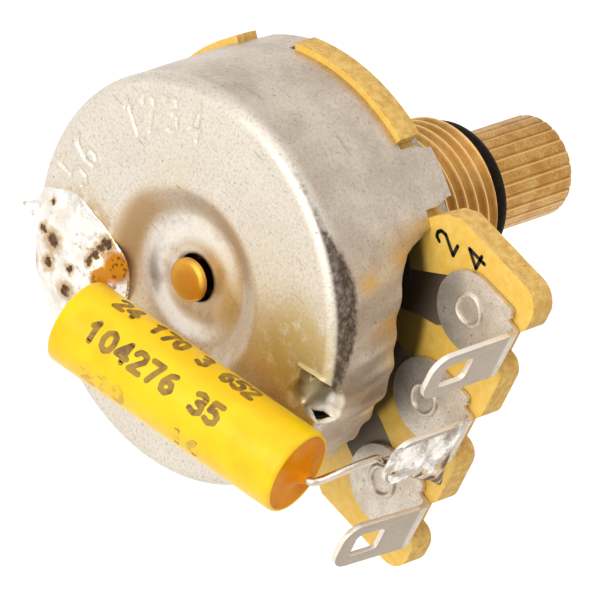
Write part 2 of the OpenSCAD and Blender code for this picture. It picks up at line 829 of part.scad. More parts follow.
// The metal driver with the arm that meets the stop strip
module driver() {
    color(steel) stand() difference() {
        union() {
            translate([0, 0, driver_h]) cylinder(r = driver_r, h = driver_t);
            translate([0, 0, driver_h]) cylinder(r = shaft_r + 1.2, h = disc_h - driver_h);
            sector(driver_r - 0.5, arm_r, arm_mid - arm_half, arm_mid + arm_half, driver_h, driver_t);
        }
        translate([0, 0, -1]) cylinder(r = press_r, h = can_h);
    }
}

module rotor_disc() {
    color(phenolic) stand() translate([0, 0, disc_h]) difference() {
        cylinder(r = disc_r, h = disc_t);
        translate([0, 0, -1]) cylinder(r = press_r, h = disc_t + 2);
    }
}

// One spring arm: sloping length, level end and contact button, at radius r
module wiper_arm(r) {
    run = arm_rise / tan(wiper_slope);
    len = arm_rise / sin(wiper_slope);
    translate([-r, -run - wiper_w / 2, wiper_h]) {
        translate([-wiper_w / 2, 0, 0]) rotate([wiper_slope, 0, 0])
            cube([wiper_w, len + wiper_t / 2, wiper_t]);
        translate([-wiper_w / 2, run - wiper_t / 2, arm_rise]) cube([wiper_w, 1.1 * wiper_w, wiper_t]);
        translate([0, run + wiper_w / 2, arm_rise + wiper_t / 2])
            cylinder(r1 = 0.38 * wiper_w, r2 = 0.27 * wiper_w, h = wiper_button + wiper_t / 2, $fn = 32);
    }
}

module wiper() {
    foot_y = -arm_rise / tan(wiper_slope) - wiper_w / 2;
    foot_w = 1.2 * wiper_w;
    hub_r = shaft_r + 1.4;
    outer = (track_r1 + track_r2) / 2;
    inner = (collector_r1 + collector_r2) / 2;
    color(brass) stand() difference() {
        union() {
            translate([0, 0, wiper_h]) cylinder(r = hub_r, h = wiper_t);
            intersection() {
                translate([-outer - wiper_w / 2, foot_y - 0.8 * foot_w, wiper_h])
                    cube([outer, foot_w, wiper_t]);
                cylinder(r = arm_r, h = can_h);
            }
            translate([-inner + wiper_w / 2, foot_y - 0.5 * foot_w, wiper_h])
                cube([inner - wiper_w, -foot_y, wiper_t]);
            wiper_arm(outer);
            wiper_arm(inner);
        }
        translate([0, 0, wiper_h - 1]) cylinder(r = press_r, h = wiper_t + 2);
    }
}

can();
front_plate();
bushing();
element_board();
resistive_track();
track_lead_1();
track_lead_3();
collector_track();
terminal_1();
terminal_2();
terminal_3();
rivet_1();
rivet_2();
rivet_3();
cap_winding();
cap_sleeve();
cap_seal_front();
cap_seal_rear();
cap_lead_lug();
cap_lead_can();
solder_lug();
solder_can();
shaft();
o_ring();
retaining_ring();
driver();
rotor_disc();
wiper();
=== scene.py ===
import math

import bmesh
import bpy
import numpy as np
from mathutils import Matrix, Vector, noise
from mathutils.geometry import delaunay_2d_cdt


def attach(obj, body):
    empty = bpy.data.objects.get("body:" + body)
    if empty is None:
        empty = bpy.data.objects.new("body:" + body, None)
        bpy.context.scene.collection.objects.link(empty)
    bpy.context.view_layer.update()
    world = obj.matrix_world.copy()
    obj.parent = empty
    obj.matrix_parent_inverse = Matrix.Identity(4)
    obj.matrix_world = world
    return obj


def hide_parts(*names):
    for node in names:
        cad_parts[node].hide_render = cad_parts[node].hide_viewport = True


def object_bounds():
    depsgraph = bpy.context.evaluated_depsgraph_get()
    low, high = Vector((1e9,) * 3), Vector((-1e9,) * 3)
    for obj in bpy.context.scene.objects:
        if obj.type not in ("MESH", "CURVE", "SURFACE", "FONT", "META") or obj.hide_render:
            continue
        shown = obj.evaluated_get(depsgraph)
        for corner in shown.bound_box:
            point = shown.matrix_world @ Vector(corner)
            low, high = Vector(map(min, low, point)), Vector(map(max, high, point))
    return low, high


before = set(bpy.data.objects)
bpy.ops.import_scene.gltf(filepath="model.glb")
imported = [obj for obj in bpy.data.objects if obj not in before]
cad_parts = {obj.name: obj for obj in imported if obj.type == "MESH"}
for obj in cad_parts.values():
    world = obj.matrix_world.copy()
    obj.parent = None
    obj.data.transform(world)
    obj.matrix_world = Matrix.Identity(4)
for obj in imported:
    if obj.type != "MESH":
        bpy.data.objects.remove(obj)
cad_low, cad_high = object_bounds()

# The camera stands behind and above the potentiometer, rolled as it was for the photograph,
# so that the shaft points away to the upper right.
MM = 0.001
camera = bpy.data.objects.new("camera", bpy.data.cameras.new("camera"))
bpy.context.scene.collection.objects.link(camera)
bpy.context.scene.camera = camera
camera.data.sensor_width = 36
camera.data.lens = 531.4
camera.data.clip_start = 0.05
camera.data.clip_end = 10
cam_right = Vector((0.62325, 0.69942, 0.34982))
cam_down = Vector((0.66439, -0.23762, -0.7086))
cam_forward = Vector((-0.41249, 0.67405, -0.61279))
camera.matrix_world = Matrix.Translation(Vector((208.99, -340.674, 304.987)) * MM) @ Matrix(
    (cam_right, -cam_down, -cam_forward)
).transposed().to_4x4()


# The can: one pressed sheet of tinned steel, dished round the shaft's pin, with digits struck in
# its back and a window over the tongue. Four tabs are folded over the front plate, and a strip
# is torn loose at the rounded edge and pushed in as the rotor's stop.
# Sizes are in mm, heights from the can's back, and angles in degrees from the tongue's middle.
SEAT = 11.3  # height of the panel seat
CAN_R, CAN_T, CAN_H, EDGE_R = 11.9, 0.45, 8.3, 0.75
PIN_HOLE_R = 1.38
DISH_R, DISH_FLOOR_R, DISH_D = 5.95, 3.6, 1.0
TABS = (-127, -62, 62, 127)
TAB_ROOT, TAB_FOLD, TAB_STEPS = 17.6, 14.4, 21
TAB_END_R, TAB_TOP, TAB_BEND = 9.45, 10.75, 0.5
WINDOW = (  # the can's open rim, as angles and heights
    (-180, CAN_H), (-48.1, CAN_H), (-47.6, 7.9), (-46.2, 7.2), (-44.2, 6.2), (-40, 5.65),
    (-31.5, 5.16), (-19.5, 5.03), (-8, 5.25), (0, 5.02), (8, 5.2), (20, 5.1), (32, 5.2),
    (40, 5.6), (44.5, 6.3), (46.5, 7.3), (47.7, 7.9), (48.1, CAN_H), (180, CAN_H),
)
# The stop's outline, as distances from the axis along the sheet and angles: the fold it turns
# in at, the slope back to the plain sheet, the torn slit, the open end and the cut.
STOP_FOLD = ((9.52, -13.1), (9.47, -10.6), (9.5, -7.7), (9.29, -4.3), (9.18, -1.4),
             (9.25, 1.1), (9.42, 3.1))
STOP_SLOPE = ((9.42, 3.1), (9.87, 3.0), (10.25, 1.4), (10.49, -1.6))
STOP_SLIT = ((10.49, -1.6), (10.8, -1.0), (11.2, -0.5), (11.47, -0.2), (11.86, 0.5),
             (12.25, 1.2), (12.74, 2.1), (13.35, 2.4), (13.77, 2.1))
STOP_END = ((13.77, 2.1), (13.69, -0.9), (13.6, -4.3), (13.24, -7.7), (12.75, -9.9), (12.28, -11.4))
STOP_CUT = ((12.28, -11.4), (12.0, -12.4), (11.5, -13.3), (10.84, -13.6), (10.13, -13.3),
            (9.52, -13.1))
STOP_FROM, STOP_TO, STOP_LOW = -19.5, 10.0, 8.8  # the part of the sheet that is meshed afresh
STOP_SQUEEZE = 5  # degrees that count as 1 mm in that mesh
MM_PER_DEGREE = 0.19  # round the axis, near the stop
STROKES = {  # plain digits, as lines in a box of 1 by 1
    "0": [[(0.5, 1), (0.15, 0.85), (0.03, 0.5), (0.15, 0.15), (0.5, 0), (0.85, 0.15),
           (0.97, 0.5), (0.85, 0.85), (0.5, 1)]],
    "1": [[(0.2, 0.76), (0.52, 1), (0.52, 0)]],
    "2": [[(0.05, 0.78), (0.22, 0.97), (0.55, 1), (0.85, 0.9), (0.9, 0.66), (0.05, 0),
           (0.95, 0)]],
    "3": [[(0.08, 0.9), (0.45, 1), (0.85, 0.88), (0.85, 0.64), (0.4, 0.53), (0.88, 0.42),
           (0.92, 0.14), (0.5, 0), (0.05, 0.1)]],
    "4": [[(0.72, 0), (0.72, 1), (0.02, 0.28), (0.98, 0.28)]],
    "5": [[(0.88, 1), (0.16, 1), (0.1, 0.56), (0.55, 0.62), (0.92, 0.42), (0.88, 0.12),
           (0.45, 0), (0.05, 0.1)]],
    "6": [[(0.8, 0.95), (0.4, 0.85), (0.08, 0.4), (0.2, 0.06), (0.6, 0), (0.93, 0.22),
           (0.8, 0.5), (0.4, 0.55), (0.1, 0.35)]],
    "7": [[(0.04, 1), (0.95, 1), (0.35, 0)]],
}
STRUCK = (("1", -143.5), ("2", -134.2), ("3", -123.8), ("4", -112.9), ("5", -181.4),
          ("6", -171.6))
STRUCK_R, STRUCK_H, STRUCK_W, STRUCK_D = 8.65, 2.15, 0.95, 0.1


def stand(points):
    """Drawing points in mm (along the tongue, across it, height) turned to the row's metres."""
    p = np.asarray(points, float).reshape(-1, 3)
    return np.stack([p[:, 0], p[:, 2] - SEAT, -p[:, 1]], 1) * MM


def quads(rows, cols, closed=False, shift=0):
    """Faces of a grid whose points are listed row by row; closed joins the last column to the
    first, shift rows further on."""
    out = []
    for i in range(rows - 1):
        for j in range(cols if closed else cols - 1):
            k, up = (j + 1, 0) if j + 1 < cols else (0, shift)
            if i + up + 1 < rows:
                out.append((i * cols + j, (i + up) * cols + k,
                            (i + up + 1) * cols + k, (i + 1) * cols + j))
    return out


def piece(name, parts, material, body="housing", nodes=(), crisp=35,
          open_sheet=False):
    """A piece of the given (points, faces) parts, cleaned, shaded, dressed and set on its
    body; edges sharper than crisp degrees stay sharp."""
    points, faces, start = [], [], 0
    for corners, loops in parts:
        corners = np.asarray(corners, float).reshape(-1, 3)
        points.append(corners)
        faces += [tuple(start + i for i in loop) for loop in loops]
        start += len(corners)
    mesh = bpy.data.meshes.new(name)
    mesh.from_pydata(stand(np.concatenate(points)).tolist(), [], faces)
    bm = bmesh.new()
    bm.from_mesh(mesh)
    bmesh.ops.remove_doubles(bm, verts=bm.verts, dist=1e-7)
    bmesh.ops.dissolve_degenerate(bm, edges=bm.edges, dist=1e-8)
    if not open_sheet:
        bmesh.ops.recalc_face_normals(bm, faces=bm.faces)
    bm.to_mesh(mesh)
    bm.free()
    mesh.shade_smooth()
    mesh.set_sharp_from_angle(angle=math.radians(crisp))
    made = bpy.data.objects.new(name, mesh)
    bpy.context.scene.collection.objects.link(made)
    made.data.materials.append(material)
    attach(made, body)
    if nodes:
        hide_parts(*nodes)
    return made


def modifier(made, kind, **settings):
    """Adds one of Blender's modifiers with its settings."""
    added = made.modifiers.new(kind.lower(), kind)
    for key, value in settings.items():
        setattr(added, key, value)


class Value:
    """A socket in a material. Arithmetic on it adds the maths nodes it needs."""

    def __init__(self, tree, socket=None):
        self.tree, self.socket = tree, socket

    def node(self, kind, settings=None, sockets=None, out=0):
        """Adds a node of any kind: its settings first, then values or links for its sockets."""
        new = self.tree.nodes.new("ShaderNode" + kind)
        for key, setting in (settings or {}).items():
            setattr(new, key, setting)
        for key, value in (sockets or {}).items():
            if isinstance(value, Value):
                self.tree.links.new(value.socket, new.inputs[key])
            else:
                new.inputs[key].default_value = value
        return Value(self.tree, new.outputs[out])

    def maths(self, operation, a, b=0.0):
        return self.node("Math", {"operation": operation}, {0: a, 1: b})

    def __add__(self, other):
        return self.maths("ADD", self, other)

    def __sub__(self, other):
        return self.maths("SUBTRACT", self, other)

    def __mul__(self, other):
        return self.maths("MULTIPLY", self, other)

    __radd__, __rmul__ = __add__, __mul__

    def __rsub__(self, other):
        return self.maths("SUBTRACT", other, self)

    def __pow__(self, other):
        return self.maths("POWER", self, other)

    def most(self, other):
        return self.maths("MAXIMUM", self, other)

    def least(self, other):
        return self.maths("MINIMUM", self, other)

    def fraction(self):
        """What is left of it above a whole number."""
        return self.maths("FRACT", self)

    def axis(self, number):
        """One of the three parts of a vector."""
        return self.node("SeparateXYZ", {}, {0: self}, out=number)

    def rising(self, low, high):
        """0 below low, 1 above high, smooth between; low may be the greater."""
        return self.node("MapRange", {"interpolation_type": "SMOOTHSTEP"},
                         {"Value": self, "From Min": low, "From Max": high})

    def speckle(self, scale, detail=3.0, rough=0.6):
        """Noise of a place in mm, scale in lumps per mm."""
        return self.node("TexNoise", {}, {"Vector": self, "Scale": scale, "Detail": detail,
                                         "Roughness": rough})

    def stretched(self, x, y, z):
        """The place times x, y and z, so that noise on it is drawn out where they are small."""
        return self.node("VectorMath", {"operation": "MULTIPLY"}, {0: self, 1: (x, y, z)})

    def mixed(self, a, b):
        """The colour a where this is 0 and b where it is 1."""
        a, b = (paint(colour) if isinstance(colour, str) else colour for colour in (a, b))
        return self.node("Mix", {"data_type": "RGBA"}, {0: self, 6: a, 7: b}, out=2)

    def under(self, *layers):
        """This colour with layers over it, each a mask and the colour that shows through it."""
        colour = self
        for mask, over in layers:
            colour = mask.mixed(colour, over)
        return colour


def paint(code):
    """A colour written as on a screen, in the renderer's own numbers."""
    parts = [int(code[i : i + 2], 16) / 255 for i in (1, 3, 5)]
    return tuple(((c + 0.055) / 1.055) ** 2.4 if c > 0.04045 else c / 12.92
                 for c in parts) + (1.0,)


class Finish:
    """A material: its shader, the place in mm, and the drawing's u, v and height as values."""

    def __init__(self, name, colour, roughness, metallic=0.0, coat=0.0, specular=0.5):
        self.material = bpy.data.materials.new(name)
        self.material.use_nodes = True
        tree = self.material.node_tree
        self.shader = tree.nodes["Principled BSDF"]
        for key, value in (("Base Color", paint(colour)), ("Roughness", roughness),
                           ("Metallic", metallic), ("Coat Weight", coat),
                           ("Coat Roughness", 0.1), ("Specular IOR Level", specular)):
            self.shader.inputs[key].default_value = value
        place = Value(tree).node("TexCoord", out="Object")
        self.place = place.node("VectorMath", {"operation": "SCALE"},
                                {0: place, "Scale": 1 / MM})
        x, y, z = (self.place.axis(i) for i in range(3))
        self.u, self.v, self.h = x, 0 - z, y + SEAT

    def feed(self, **sockets):
        """Links values to the shader's sockets, named with _ for a space."""
        for key, value in sockets.items():
            value.tree.links.new(value.socket, self.shader.inputs[key.replace("_", " ")])

    def bump(self, height, depth):
        """Relief of that depth in mm where height goes from 0 to 1."""
        self.feed(Normal=height.node("Bump", {}, {"Height": height, "Strength": 1.0,
                                                 "Distance": depth * MM}))

    def near(self, u, v, radius, soft=0.5):
        """1 round the drawing point (u, v), 0 beyond the radius."""
        far = ((self.u - u) ** 2.0 + (self.v - v) ** 2.0) ** 0.5
        return far.rising(radius, radius * (1 - soft))

    def from_axis(self):
        """Distance from the shaft's axis."""
        return (self.u ** 2.0 + self.v ** 2.0) ** 0.5

    def around(self):
        """Angle round the shaft's axis, in degrees."""
        return self.v.maths("ARCTAN2", self.v, self.u) * (180 / math.pi)

    def facing(self, axis):
        """1 where the surface faces along one of the row's axes, 0 where it is edge on."""
        along = self.place.node("TexCoord", out="Normal").axis(axis)
        return along * along


def to_strokes(x, y, strokes):
    """Distance from points to the nearest of some polylines."""
    best = np.full(np.shape(x), 9.0)  # farther than any point that matters
    for line in strokes:
        for (ax, ay), (bx, by) in zip(line, line[1:]):
            dx, dy = bx - ax, by - ay
            t = np.clip(((x - ax) * dx + (y - ay) * dy) / (dx * dx + dy * dy), 0, 1)
            best = np.minimum(best, np.hypot(x - ax - t * dx, y - ay - t * dy))
    return best


def can_surface(rho, angle, lift=0.0):
    """A point on the can's outside: rho is the distance from the axis along the sheet."""
    flat = CAN_R - EDGE_R
    arc = EDGE_R * math.pi / 2
    bend = np.clip((rho - flat) / EDGE_R, 0, math.pi / 2)
    r = np.minimum(rho, flat) + EDGE_R * np.sin(bend) + lift * np.sin(bend)
    h = EDGE_R * (1 - np.cos(bend)) + np.maximum(rho - flat - arc, 0) - lift * np.cos(bend)
    return np.stack([r * np.cos(angle), r * np.sin(angle), h], -1)


tinned = Finish("tinned_steel", "#c2b2a1", 0.38, metallic=1.0)
radius = tinned.from_axis()
around = tinned.around()


def can_side(low, high, bottom, top, soft=0.5):
    """1 on a stretch of the can's side between two angles and two heights."""
    wide, tall = soft * (high - low), soft * (top - bottom)
    return (around.rising(low, low + wide) * around.rising(high, high - wide)
            * tinned.h.rising(bottom, bottom + tall) * tinned.h.rising(top, top - tall))


grain = tinned.place.speckle(5.5, 5.0, 0.75)
cloud = tinned.place.speckle(0.35, 4.0, 0.6)
worn = tinned.place.speckle(2.2, 5.0, 0.75)
pits = tinned.place.speckle(5.5, 2.0, 0.5).rising(0.68, 0.76)
scratch = tinned.place.stretched(0.35, 3.0, 2.2).speckle(1.6, 3.0, 0.55).rising(0.66, 0.72)
smudge = (tinned.place.stretched(0.25, 1.6, 0.25).speckle(0.9, 4.0, 0.7).rising(0.6, 0.72)
          * tinned.h.rising(0.9, 1.6))
# stains of flux on the back and the side
back = tinned.h.rising(1.3, 0.6)
flux = (tinned.near(6.0, 2.2, 5.6, 0.8) * 0.75 + tinned.near(-2.6, -4.4, 3.4, 0.9) * 0.35
        + tinned.near(-7.0, 1.5, 2.6, 0.7) * 0.5 + tinned.near(1.6, 4.2, 3.0, 0.8) * 0.5
        ) * tinned.place.speckle(0.8, 3.0, 0.6).rising(0.38, 0.62) * back
side_stain = (tinned.h.rising(3.2, 5.2) * tinned.near(13.0, -4.0, 6.5, 0.8)
              * cloud.rising(0.42, 0.6))
fringe = (tinned.near(-7.0, 4.9, 5.0, 0.3) * tinned.place.speckle(1.5, 3.0, 0.6).rising(0.3, 0.55)
          * back)
ochre = (tinned.near(8.7, -2.6, 4.6, 0.75) * tinned.place.speckle(0.9, 4.0, 0.7).rising(0.25, 0.5)
         * back)
# the dark band along the edge, partly wear and partly a painted dark reflection, and the painted
# reflection of the yellow board in the side
band = around.rising(-62, -40) * around.rising(4, -34) * 1.35 + 0.62
rim_wear_and_dark_reflection = (tinned.h.rising(0.2, 0.42) * (band - tinned.h + (worn - 0.5) * 0.9).rising(-0.1, 0.5)
           * radius.rising(10.9, 11.3) * around.rising(-84, -60) * around.rising(10, -4))
board_reflection = (can_side(-44, -34, 1.7, 4.2) * 0.8 + can_side(-29, -20, 3.2, 6.5) * 0.6
        + can_side(-48, -38, 4.4, 7.0) * 0.6)
# the dish: its floor painted brighter as a sheen, and its slope painted darker as shade on two sides
floor_shine = radius.rising(3.9, 3.5) * back
patchy_shine = floor_shine * tinned.place.speckle(0.7, 3.0, 0.6).rising(0.3, 0.5)
dish = radius.rising(3.8, 4.3) * radius.rising(6.1, 5.4) * back
dish_shade = dish * (tinned.near(-5.2, 0.0, 4.2, 0.6) * 0.75).most(
    tinned.near(1.5, -5.2, 3.4, 0.7) * 0.55)
# the stop: painted shade on its underside, and painted highlights on its torn lips
inner = (tinned.h.rising(0.04, 0.2) * tinned.near(10.3, -1.4, 1.7, 0.6)
         * radius.rising(11.6, 11.2))
lip_highlight = (tinned.h.rising(0.1, 0.3) * tinned.near(11.4, 0.4, 1.0, 0.5)).most(
    tinned.near(11.6, -0.9, 0.8, 0.6) * tinned.h.rising(1.0, 1.4) * 0.8)
colour = cloud.rising(0.3, 0.7).mixed("#bfb0a0", "#d6c9b9").under(
    # painted light: the back is painted lighter than the side, as where the light falls most
    (back * 0.75, "#e0d8ca"),
    (grain.rising(0.42, 0.7) * 0.38, "#8f8069"),
    (pits * 0.5, "#5f5043"),
    (scratch * 0.3, "#7b6c5e"),
    ((flux * 0.6 + side_stain * 0.4).least(0.9), "#c8a868"),
    (ochre * 0.8, "#b8a058"),
    (fringe * 0.7, "#b58f4c"),
    (smudge * 0.3, "#6a5a4c"),
    # partly wear, partly a painted dark reflection along the rim
    (rim_wear_and_dark_reflection * (0.55 + worn.rising(0.3, 0.6) * 0.4), "#57453a"),
    # painted reflection of the yellow board
    (board_reflection.least(0.8), "#d9b061"),
    (patchy_shine * 0.8, "#f4efe6"),
    (dish_shade, "#b89a6c"),
    (inner * 0.8, "#54452f"),
    # painted highlights on the stop's torn lips
    (lip_highlight * radius.rising(11.84, 11.7), "#fbf5ea"),
)
tinned.feed(Base_Color=colour,
            Roughness=0.3 + grain * 0.2 + cloud * 0.08 - floor_shine * 0.14 + rim_wear_and_dark_reflection * 0.2)
tinned.bump(grain * 0.6 + pits * -0.5 + cloud * 1.5, 0.012)


def steps(low, high, step):
    """Angles from low up to high, as a set."""
    return set(np.round(np.arange(low, high, step), 3))


def wrapped(degrees):
    """The same angle between -180 and 180."""
    return (degrees + 180) % 360 - 180


def slope(t, round_off=0.3):
    """Rises from 0 to 1, straight but for rounded ends."""
    if t < round_off:
        return t * t / (2 * round_off * (1 - round_off))
    if t > 1 - round_off:
        return 1 - slope(1 - t, round_off)
    return (t - round_off / 2) / (1 - round_off)


def can_point(rho, degrees, lift=0.0):
    """A point of the can's outside by its distance along the sheet and its angle: the side is a
    little wavy where it was pulled in over the window."""
    p = can_surface(rho, np.radians(degrees), lift)
    rim = np.interp(wrapped(degrees), *zip(*WINDOW))
    t = np.clip((p[..., 2] - EDGE_R) / (rim - EDGE_R), 0, 1)
    over_window = np.clip((6.5 - rim) / 1.2, 0, 1)
    wave = (0.1 * np.sin(np.radians(degrees) * 38 + 1.3 * p[..., 2])
            + 0.05 * np.sin(np.radians(degrees) * 23))
    pulled = (0.16 * np.exp(-(((degrees + 22) / 5) ** 2))
              + 0.1 * np.exp(-(((degrees - 9) / 5) ** 2)))
    inset = (over_window * (wave * t**1.5 + pulled * t * t)
             + 0.04 * np.exp(-(((p[..., 2] - 2.1) / 0.7) ** 2)))
    p[..., :2] *= (1 - inset / CAN_R)[..., None]
    return p


# The can's columns stand closest round the digits and the stop, and meet the tabs' edges.
columns = steps(-186, -108, 0.42) | steps(-108, 174, 1.5) | steps(STOP_FROM, STOP_TO + 0.5, 0.5)
for middle in TABS:
    columns -= {c for c in columns if abs(c - middle) < TAB_ROOT / 2 + 0.2}
    columns |= set(np.round(np.linspace(middle - TAB_ROOT / 2, middle + TAB_ROOT / 2, TAB_STEPS), 3))
columns |= {a for a, _ in WINDOW if 47 < abs(a) < 49}
columns = np.array(sorted(columns))
angle = np.radians(columns)
top = np.interp(wrapped(columns), *zip(*WINDOW))

# Its rows run from the pin's hole, over the dish, to the rounded edge and up the side.
rings = [(PIN_HOLE_R, DISH_D + 0.2), (PIN_HOLE_R + 0.02, DISH_D + 0.07),
         (PIN_HOLE_R + 0.08, DISH_D + 0.01), (PIN_HOLE_R + 0.2, DISH_D - 0.02)]
rings += [(r, DISH_D - 0.09 * math.sin(math.pi * (r - 1.5) / 2.1) ** 2)
          for r in np.linspace(1.75, 3.5, 9)]
rings += [(DISH_FLOOR_R + (DISH_R - DISH_FLOOR_R) * t, DISH_D * (1 - slope(t)))
          for t in np.linspace(0, 1, 13)]
rows = [np.stack([r * np.cos(angle), r * np.sin(angle), np.full_like(angle, h)], -1)
        for r, h in rings]
flat = CAN_R - EDGE_R
rho_list = list(np.arange(6.1, 8.5, 0.3)) + list(np.arange(8.5, flat, 0.075))
rho_list += list(flat + EDGE_R * np.linspace(0, math.pi / 2, 13))
for rho in rho_list:
    sunk = np.zeros_like(angle)
    for digit, middle in STRUCK:
        x = np.radians(wrapped(columns - middle)) * (STRUCK_R + STRUCK_H / 2) + STRUCK_W / 2
        y = np.full_like(x, rho - STRUCK_R)
        lines = [[(a * STRUCK_W, b * STRUCK_H) for a, b in line] for line in STROKES[digit]]
        far = to_strokes(x, y, lines)
        sunk = np.maximum(sunk, STRUCK_D * np.clip(1.25 - far / 0.15, 0, 1))
        sunk -= 0.022 * np.exp(-(((far - 0.3) / 0.1) ** 2))  # the metal that rose beside the stroke
    rows.append(can_point(np.full_like(angle, rho), columns, -sunk))
sheet_rho = [np.full_like(angle, rho) for rho in rho_list]
wall_rho = flat + EDGE_R * math.pi / 2
for t in np.linspace(0, 1, 14)[1:]:
    sheet_rho.append(wall_rho + t * (top - EDGE_R))
    rows.append(can_point(sheet_rho[-1], columns))
first_row = len(rows) - len(sheet_rho)


def inside(x, y, loop):
    """Whether a point lies within a closed loop."""
    hit = False
    for (ax, ay), (bx, by) in zip(loop, loop[1:] + loop[:1]):
        if (ay > y) != (by > y) and x < (bx - ax) * (y - ay) / (by - ay) + ax:
            hit = not hit
    return hit


def middle_of(face, points):
    """The middle of a flat face."""
    return [sum(points[i][k] for i in face) / len(face) for k in (0, 1)]


def blanked(outline, holes=(), cuts=(), marks=()):
    """A flat sheet with holes, as triangles, with extra lines and points in it."""
    points, edges = [], []
    for loop in (outline, *holes):
        first = len(points)
        points += [Vector(p) for p in loop]
        edges += [(first + i, first + (i + 1) % len(loop)) for i in range(len(loop))]
    for a, b in cuts:
        points += [Vector(a), Vector(b)]
        edges.append((len(points) - 2, len(points) - 1))
    points += [Vector(p) for p in marks]
    found, _, faces, *_ = delaunay_2d_cdt(points, edges, [], 1, 1e-6)
    kept = []
    for face in faces:
        x, y = middle_of(face, found)
        if inside(x, y, list(outline)) and not any(inside(x, y, list(h)) for h in holes):
            kept.append(tuple(face))
    return [tuple(p) for p in found], kept


# The stop: the sheet round it is meshed again with the stop's outline in it, and what lies within
# the outline is pushed in, straight from the fold to the open end but for a sag.
left, right = (int(np.argmin(abs(columns - a))) for a in (STOP_FROM, STOP_TO))
low_row = first_row + int(np.argmin(abs(np.array(rho_list) - STOP_LOW)))
high_row = first_row + len(rho_list) + 6  # the sixth row up the side
patch = [[(sheet_rho[i - first_row][j], columns[j] / STOP_SQUEEZE) for j in range(left, right + 1)]
         for i in range(low_row, high_row + 1)]
border = (patch[0] + [row[-1] for row in patch[1:-1]]
          + patch[-1][::-1] + [row[0] for row in patch[-2:0:-1]])
outline = STOP_FOLD + STOP_SLOPE[1:] + STOP_SLIT[1:] + STOP_END[1:] + STOP_CUT[1:-1]
stop = [(rho, a / STOP_SQUEEZE) for rho, a in outline]
flat_points, faces = blanked(border, cuts=list(zip(stop, stop[1:] + stop[:1])),
                             marks=[p for row in patch[1:-1] for p in row[1:-1]])
flat_points = np.array(flat_points)
rho, degrees = flat_points[:, 0], flat_points[:, 1] * STOP_SQUEEZE
plain = can_point(rho, degrees)


def from_line(line):
    """Distance in mm from the patch's points to a line of the stop's outline."""
    return to_strokes(rho, degrees * MM_PER_DEGREE, [[(r, a * MM_PER_DEGREE) for r, a in line]])


fold = np.interp(degrees, [a for _, a in STOP_FOLD], [r for r, _ in STOP_FOLD])
end = np.interp(degrees, [a for _, a in STOP_END[::-1]], [r for r, _ in STOP_END[::-1]])
run = np.clip((rho - fold) / (end - fold), 0, 1)
pushed = (can_point(fold, degrees) * (1 - run)[:, None]
          + can_point(end, degrees) * run[:, None])
sag = np.interp(degrees, (-13, -4, 4), (0.55, 0.38, 0.3))
pushed[:, 2] += sag * np.sin(math.pi * run) + 0.16 * np.sin(2 * math.pi * run)
plain[:, 2] -= 0.09 * np.exp(-((from_line(STOP_CUT) / 0.13) ** 2))  # the burr along the cut
eased = np.clip(from_line(STOP_SLOPE) / 2.1, 0, 1)
pushed = plain + (pushed - plain) * eased[:, None]
in_stop = [inside(*middle_of(face, flat_points), stop) for face in faces]
taken = {(i, j) for i in range(low_row, high_row) for j in range(left, right)}
around_stop = [face for k, face in enumerate(quads(len(rows), len(columns), closed=True))
               if (k // len(columns), k % len(columns)) not in taken]
shell = [(np.array(rows), around_stop),
         (plain, [face[::-1] for face, cut in zip(faces, in_stop) if not cut]),
         (pushed, [face[::-1] for face, cut in zip(faces, in_stop) if cut])]
across = np.linspace(-0.5, 0.5, TAB_STEPS)
bend_h, bend_r = TAB_TOP - TAB_BEND, CAN_R - TAB_BEND
for middle in TABS:
    lines = []
    for h in np.linspace(CAN_H, bend_h, 9):
        share = min(1.0, max(0.0, h - CAN_H - 0.9))  # the root narrows to the fold's width
        a = np.radians(middle + across * (TAB_ROOT + (TAB_FOLD - TAB_ROOT) * share))
        lines.append(np.stack([CAN_R * np.cos(a), CAN_R * np.sin(a), np.full_like(a, h)], -1))
    a = np.radians(middle) + across * math.radians(TAB_FOLD)
    for turn in np.linspace(0, math.pi / 2, 9)[1:]:
        r = CAN_R - TAB_BEND * (1 - math.cos(turn))
        h = bend_h + TAB_BEND * math.sin(turn)
        lines.append(np.stack([r * np.cos(a), r * np.sin(a), np.full_like(a, h)], -1))
    for r in np.linspace(bend_r, TAB_END_R, 6)[1:]:
        a = np.radians(middle) + across * math.radians(TAB_FOLD) * bend_r / r
        end = r + (0.35 * (2 * across) ** 4 if r < TAB_END_R + 0.01 else 0)
        lines.append(np.stack([end * np.cos(a), end * np.sin(a), np.full_like(a, TAB_TOP)], -1))
    shell.append((np.array(lines), quads(len(lines), TAB_STEPS)))
can = piece("can_shell", shell, tinned.material, nodes=("can",),
            open_sheet=True)
modifier(can, "SOLIDIFY", thickness=CAN_T * MM, offset=-1)
modifier(can, "BEVEL", width=0.05 * MM, segments=2, limit_method="ANGLE",
         angle_limit=math.radians(50))


# The front plate and the hidden rotor: a steel ring that the tabs hold on the board, a steel
# driver and clip on the shaft, a moulded disc and a springy wiper. They keep the frame's own
# meshes, with their edges broken a little.
def dress(name, finish, edge=0.0):
    """Gives a node of the frame its material and broken edges."""
    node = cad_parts[name]
    node.data.materials.clear()
    node.data.materials.append(finish.material)
    if edge:
        modifier(node, "WELD", merge_threshold=0.002 * MM)
        modifier(node, "BEVEL", width=edge * MM, segments=2, limit_method="ANGLE",
                 angle_limit=math.radians(40))


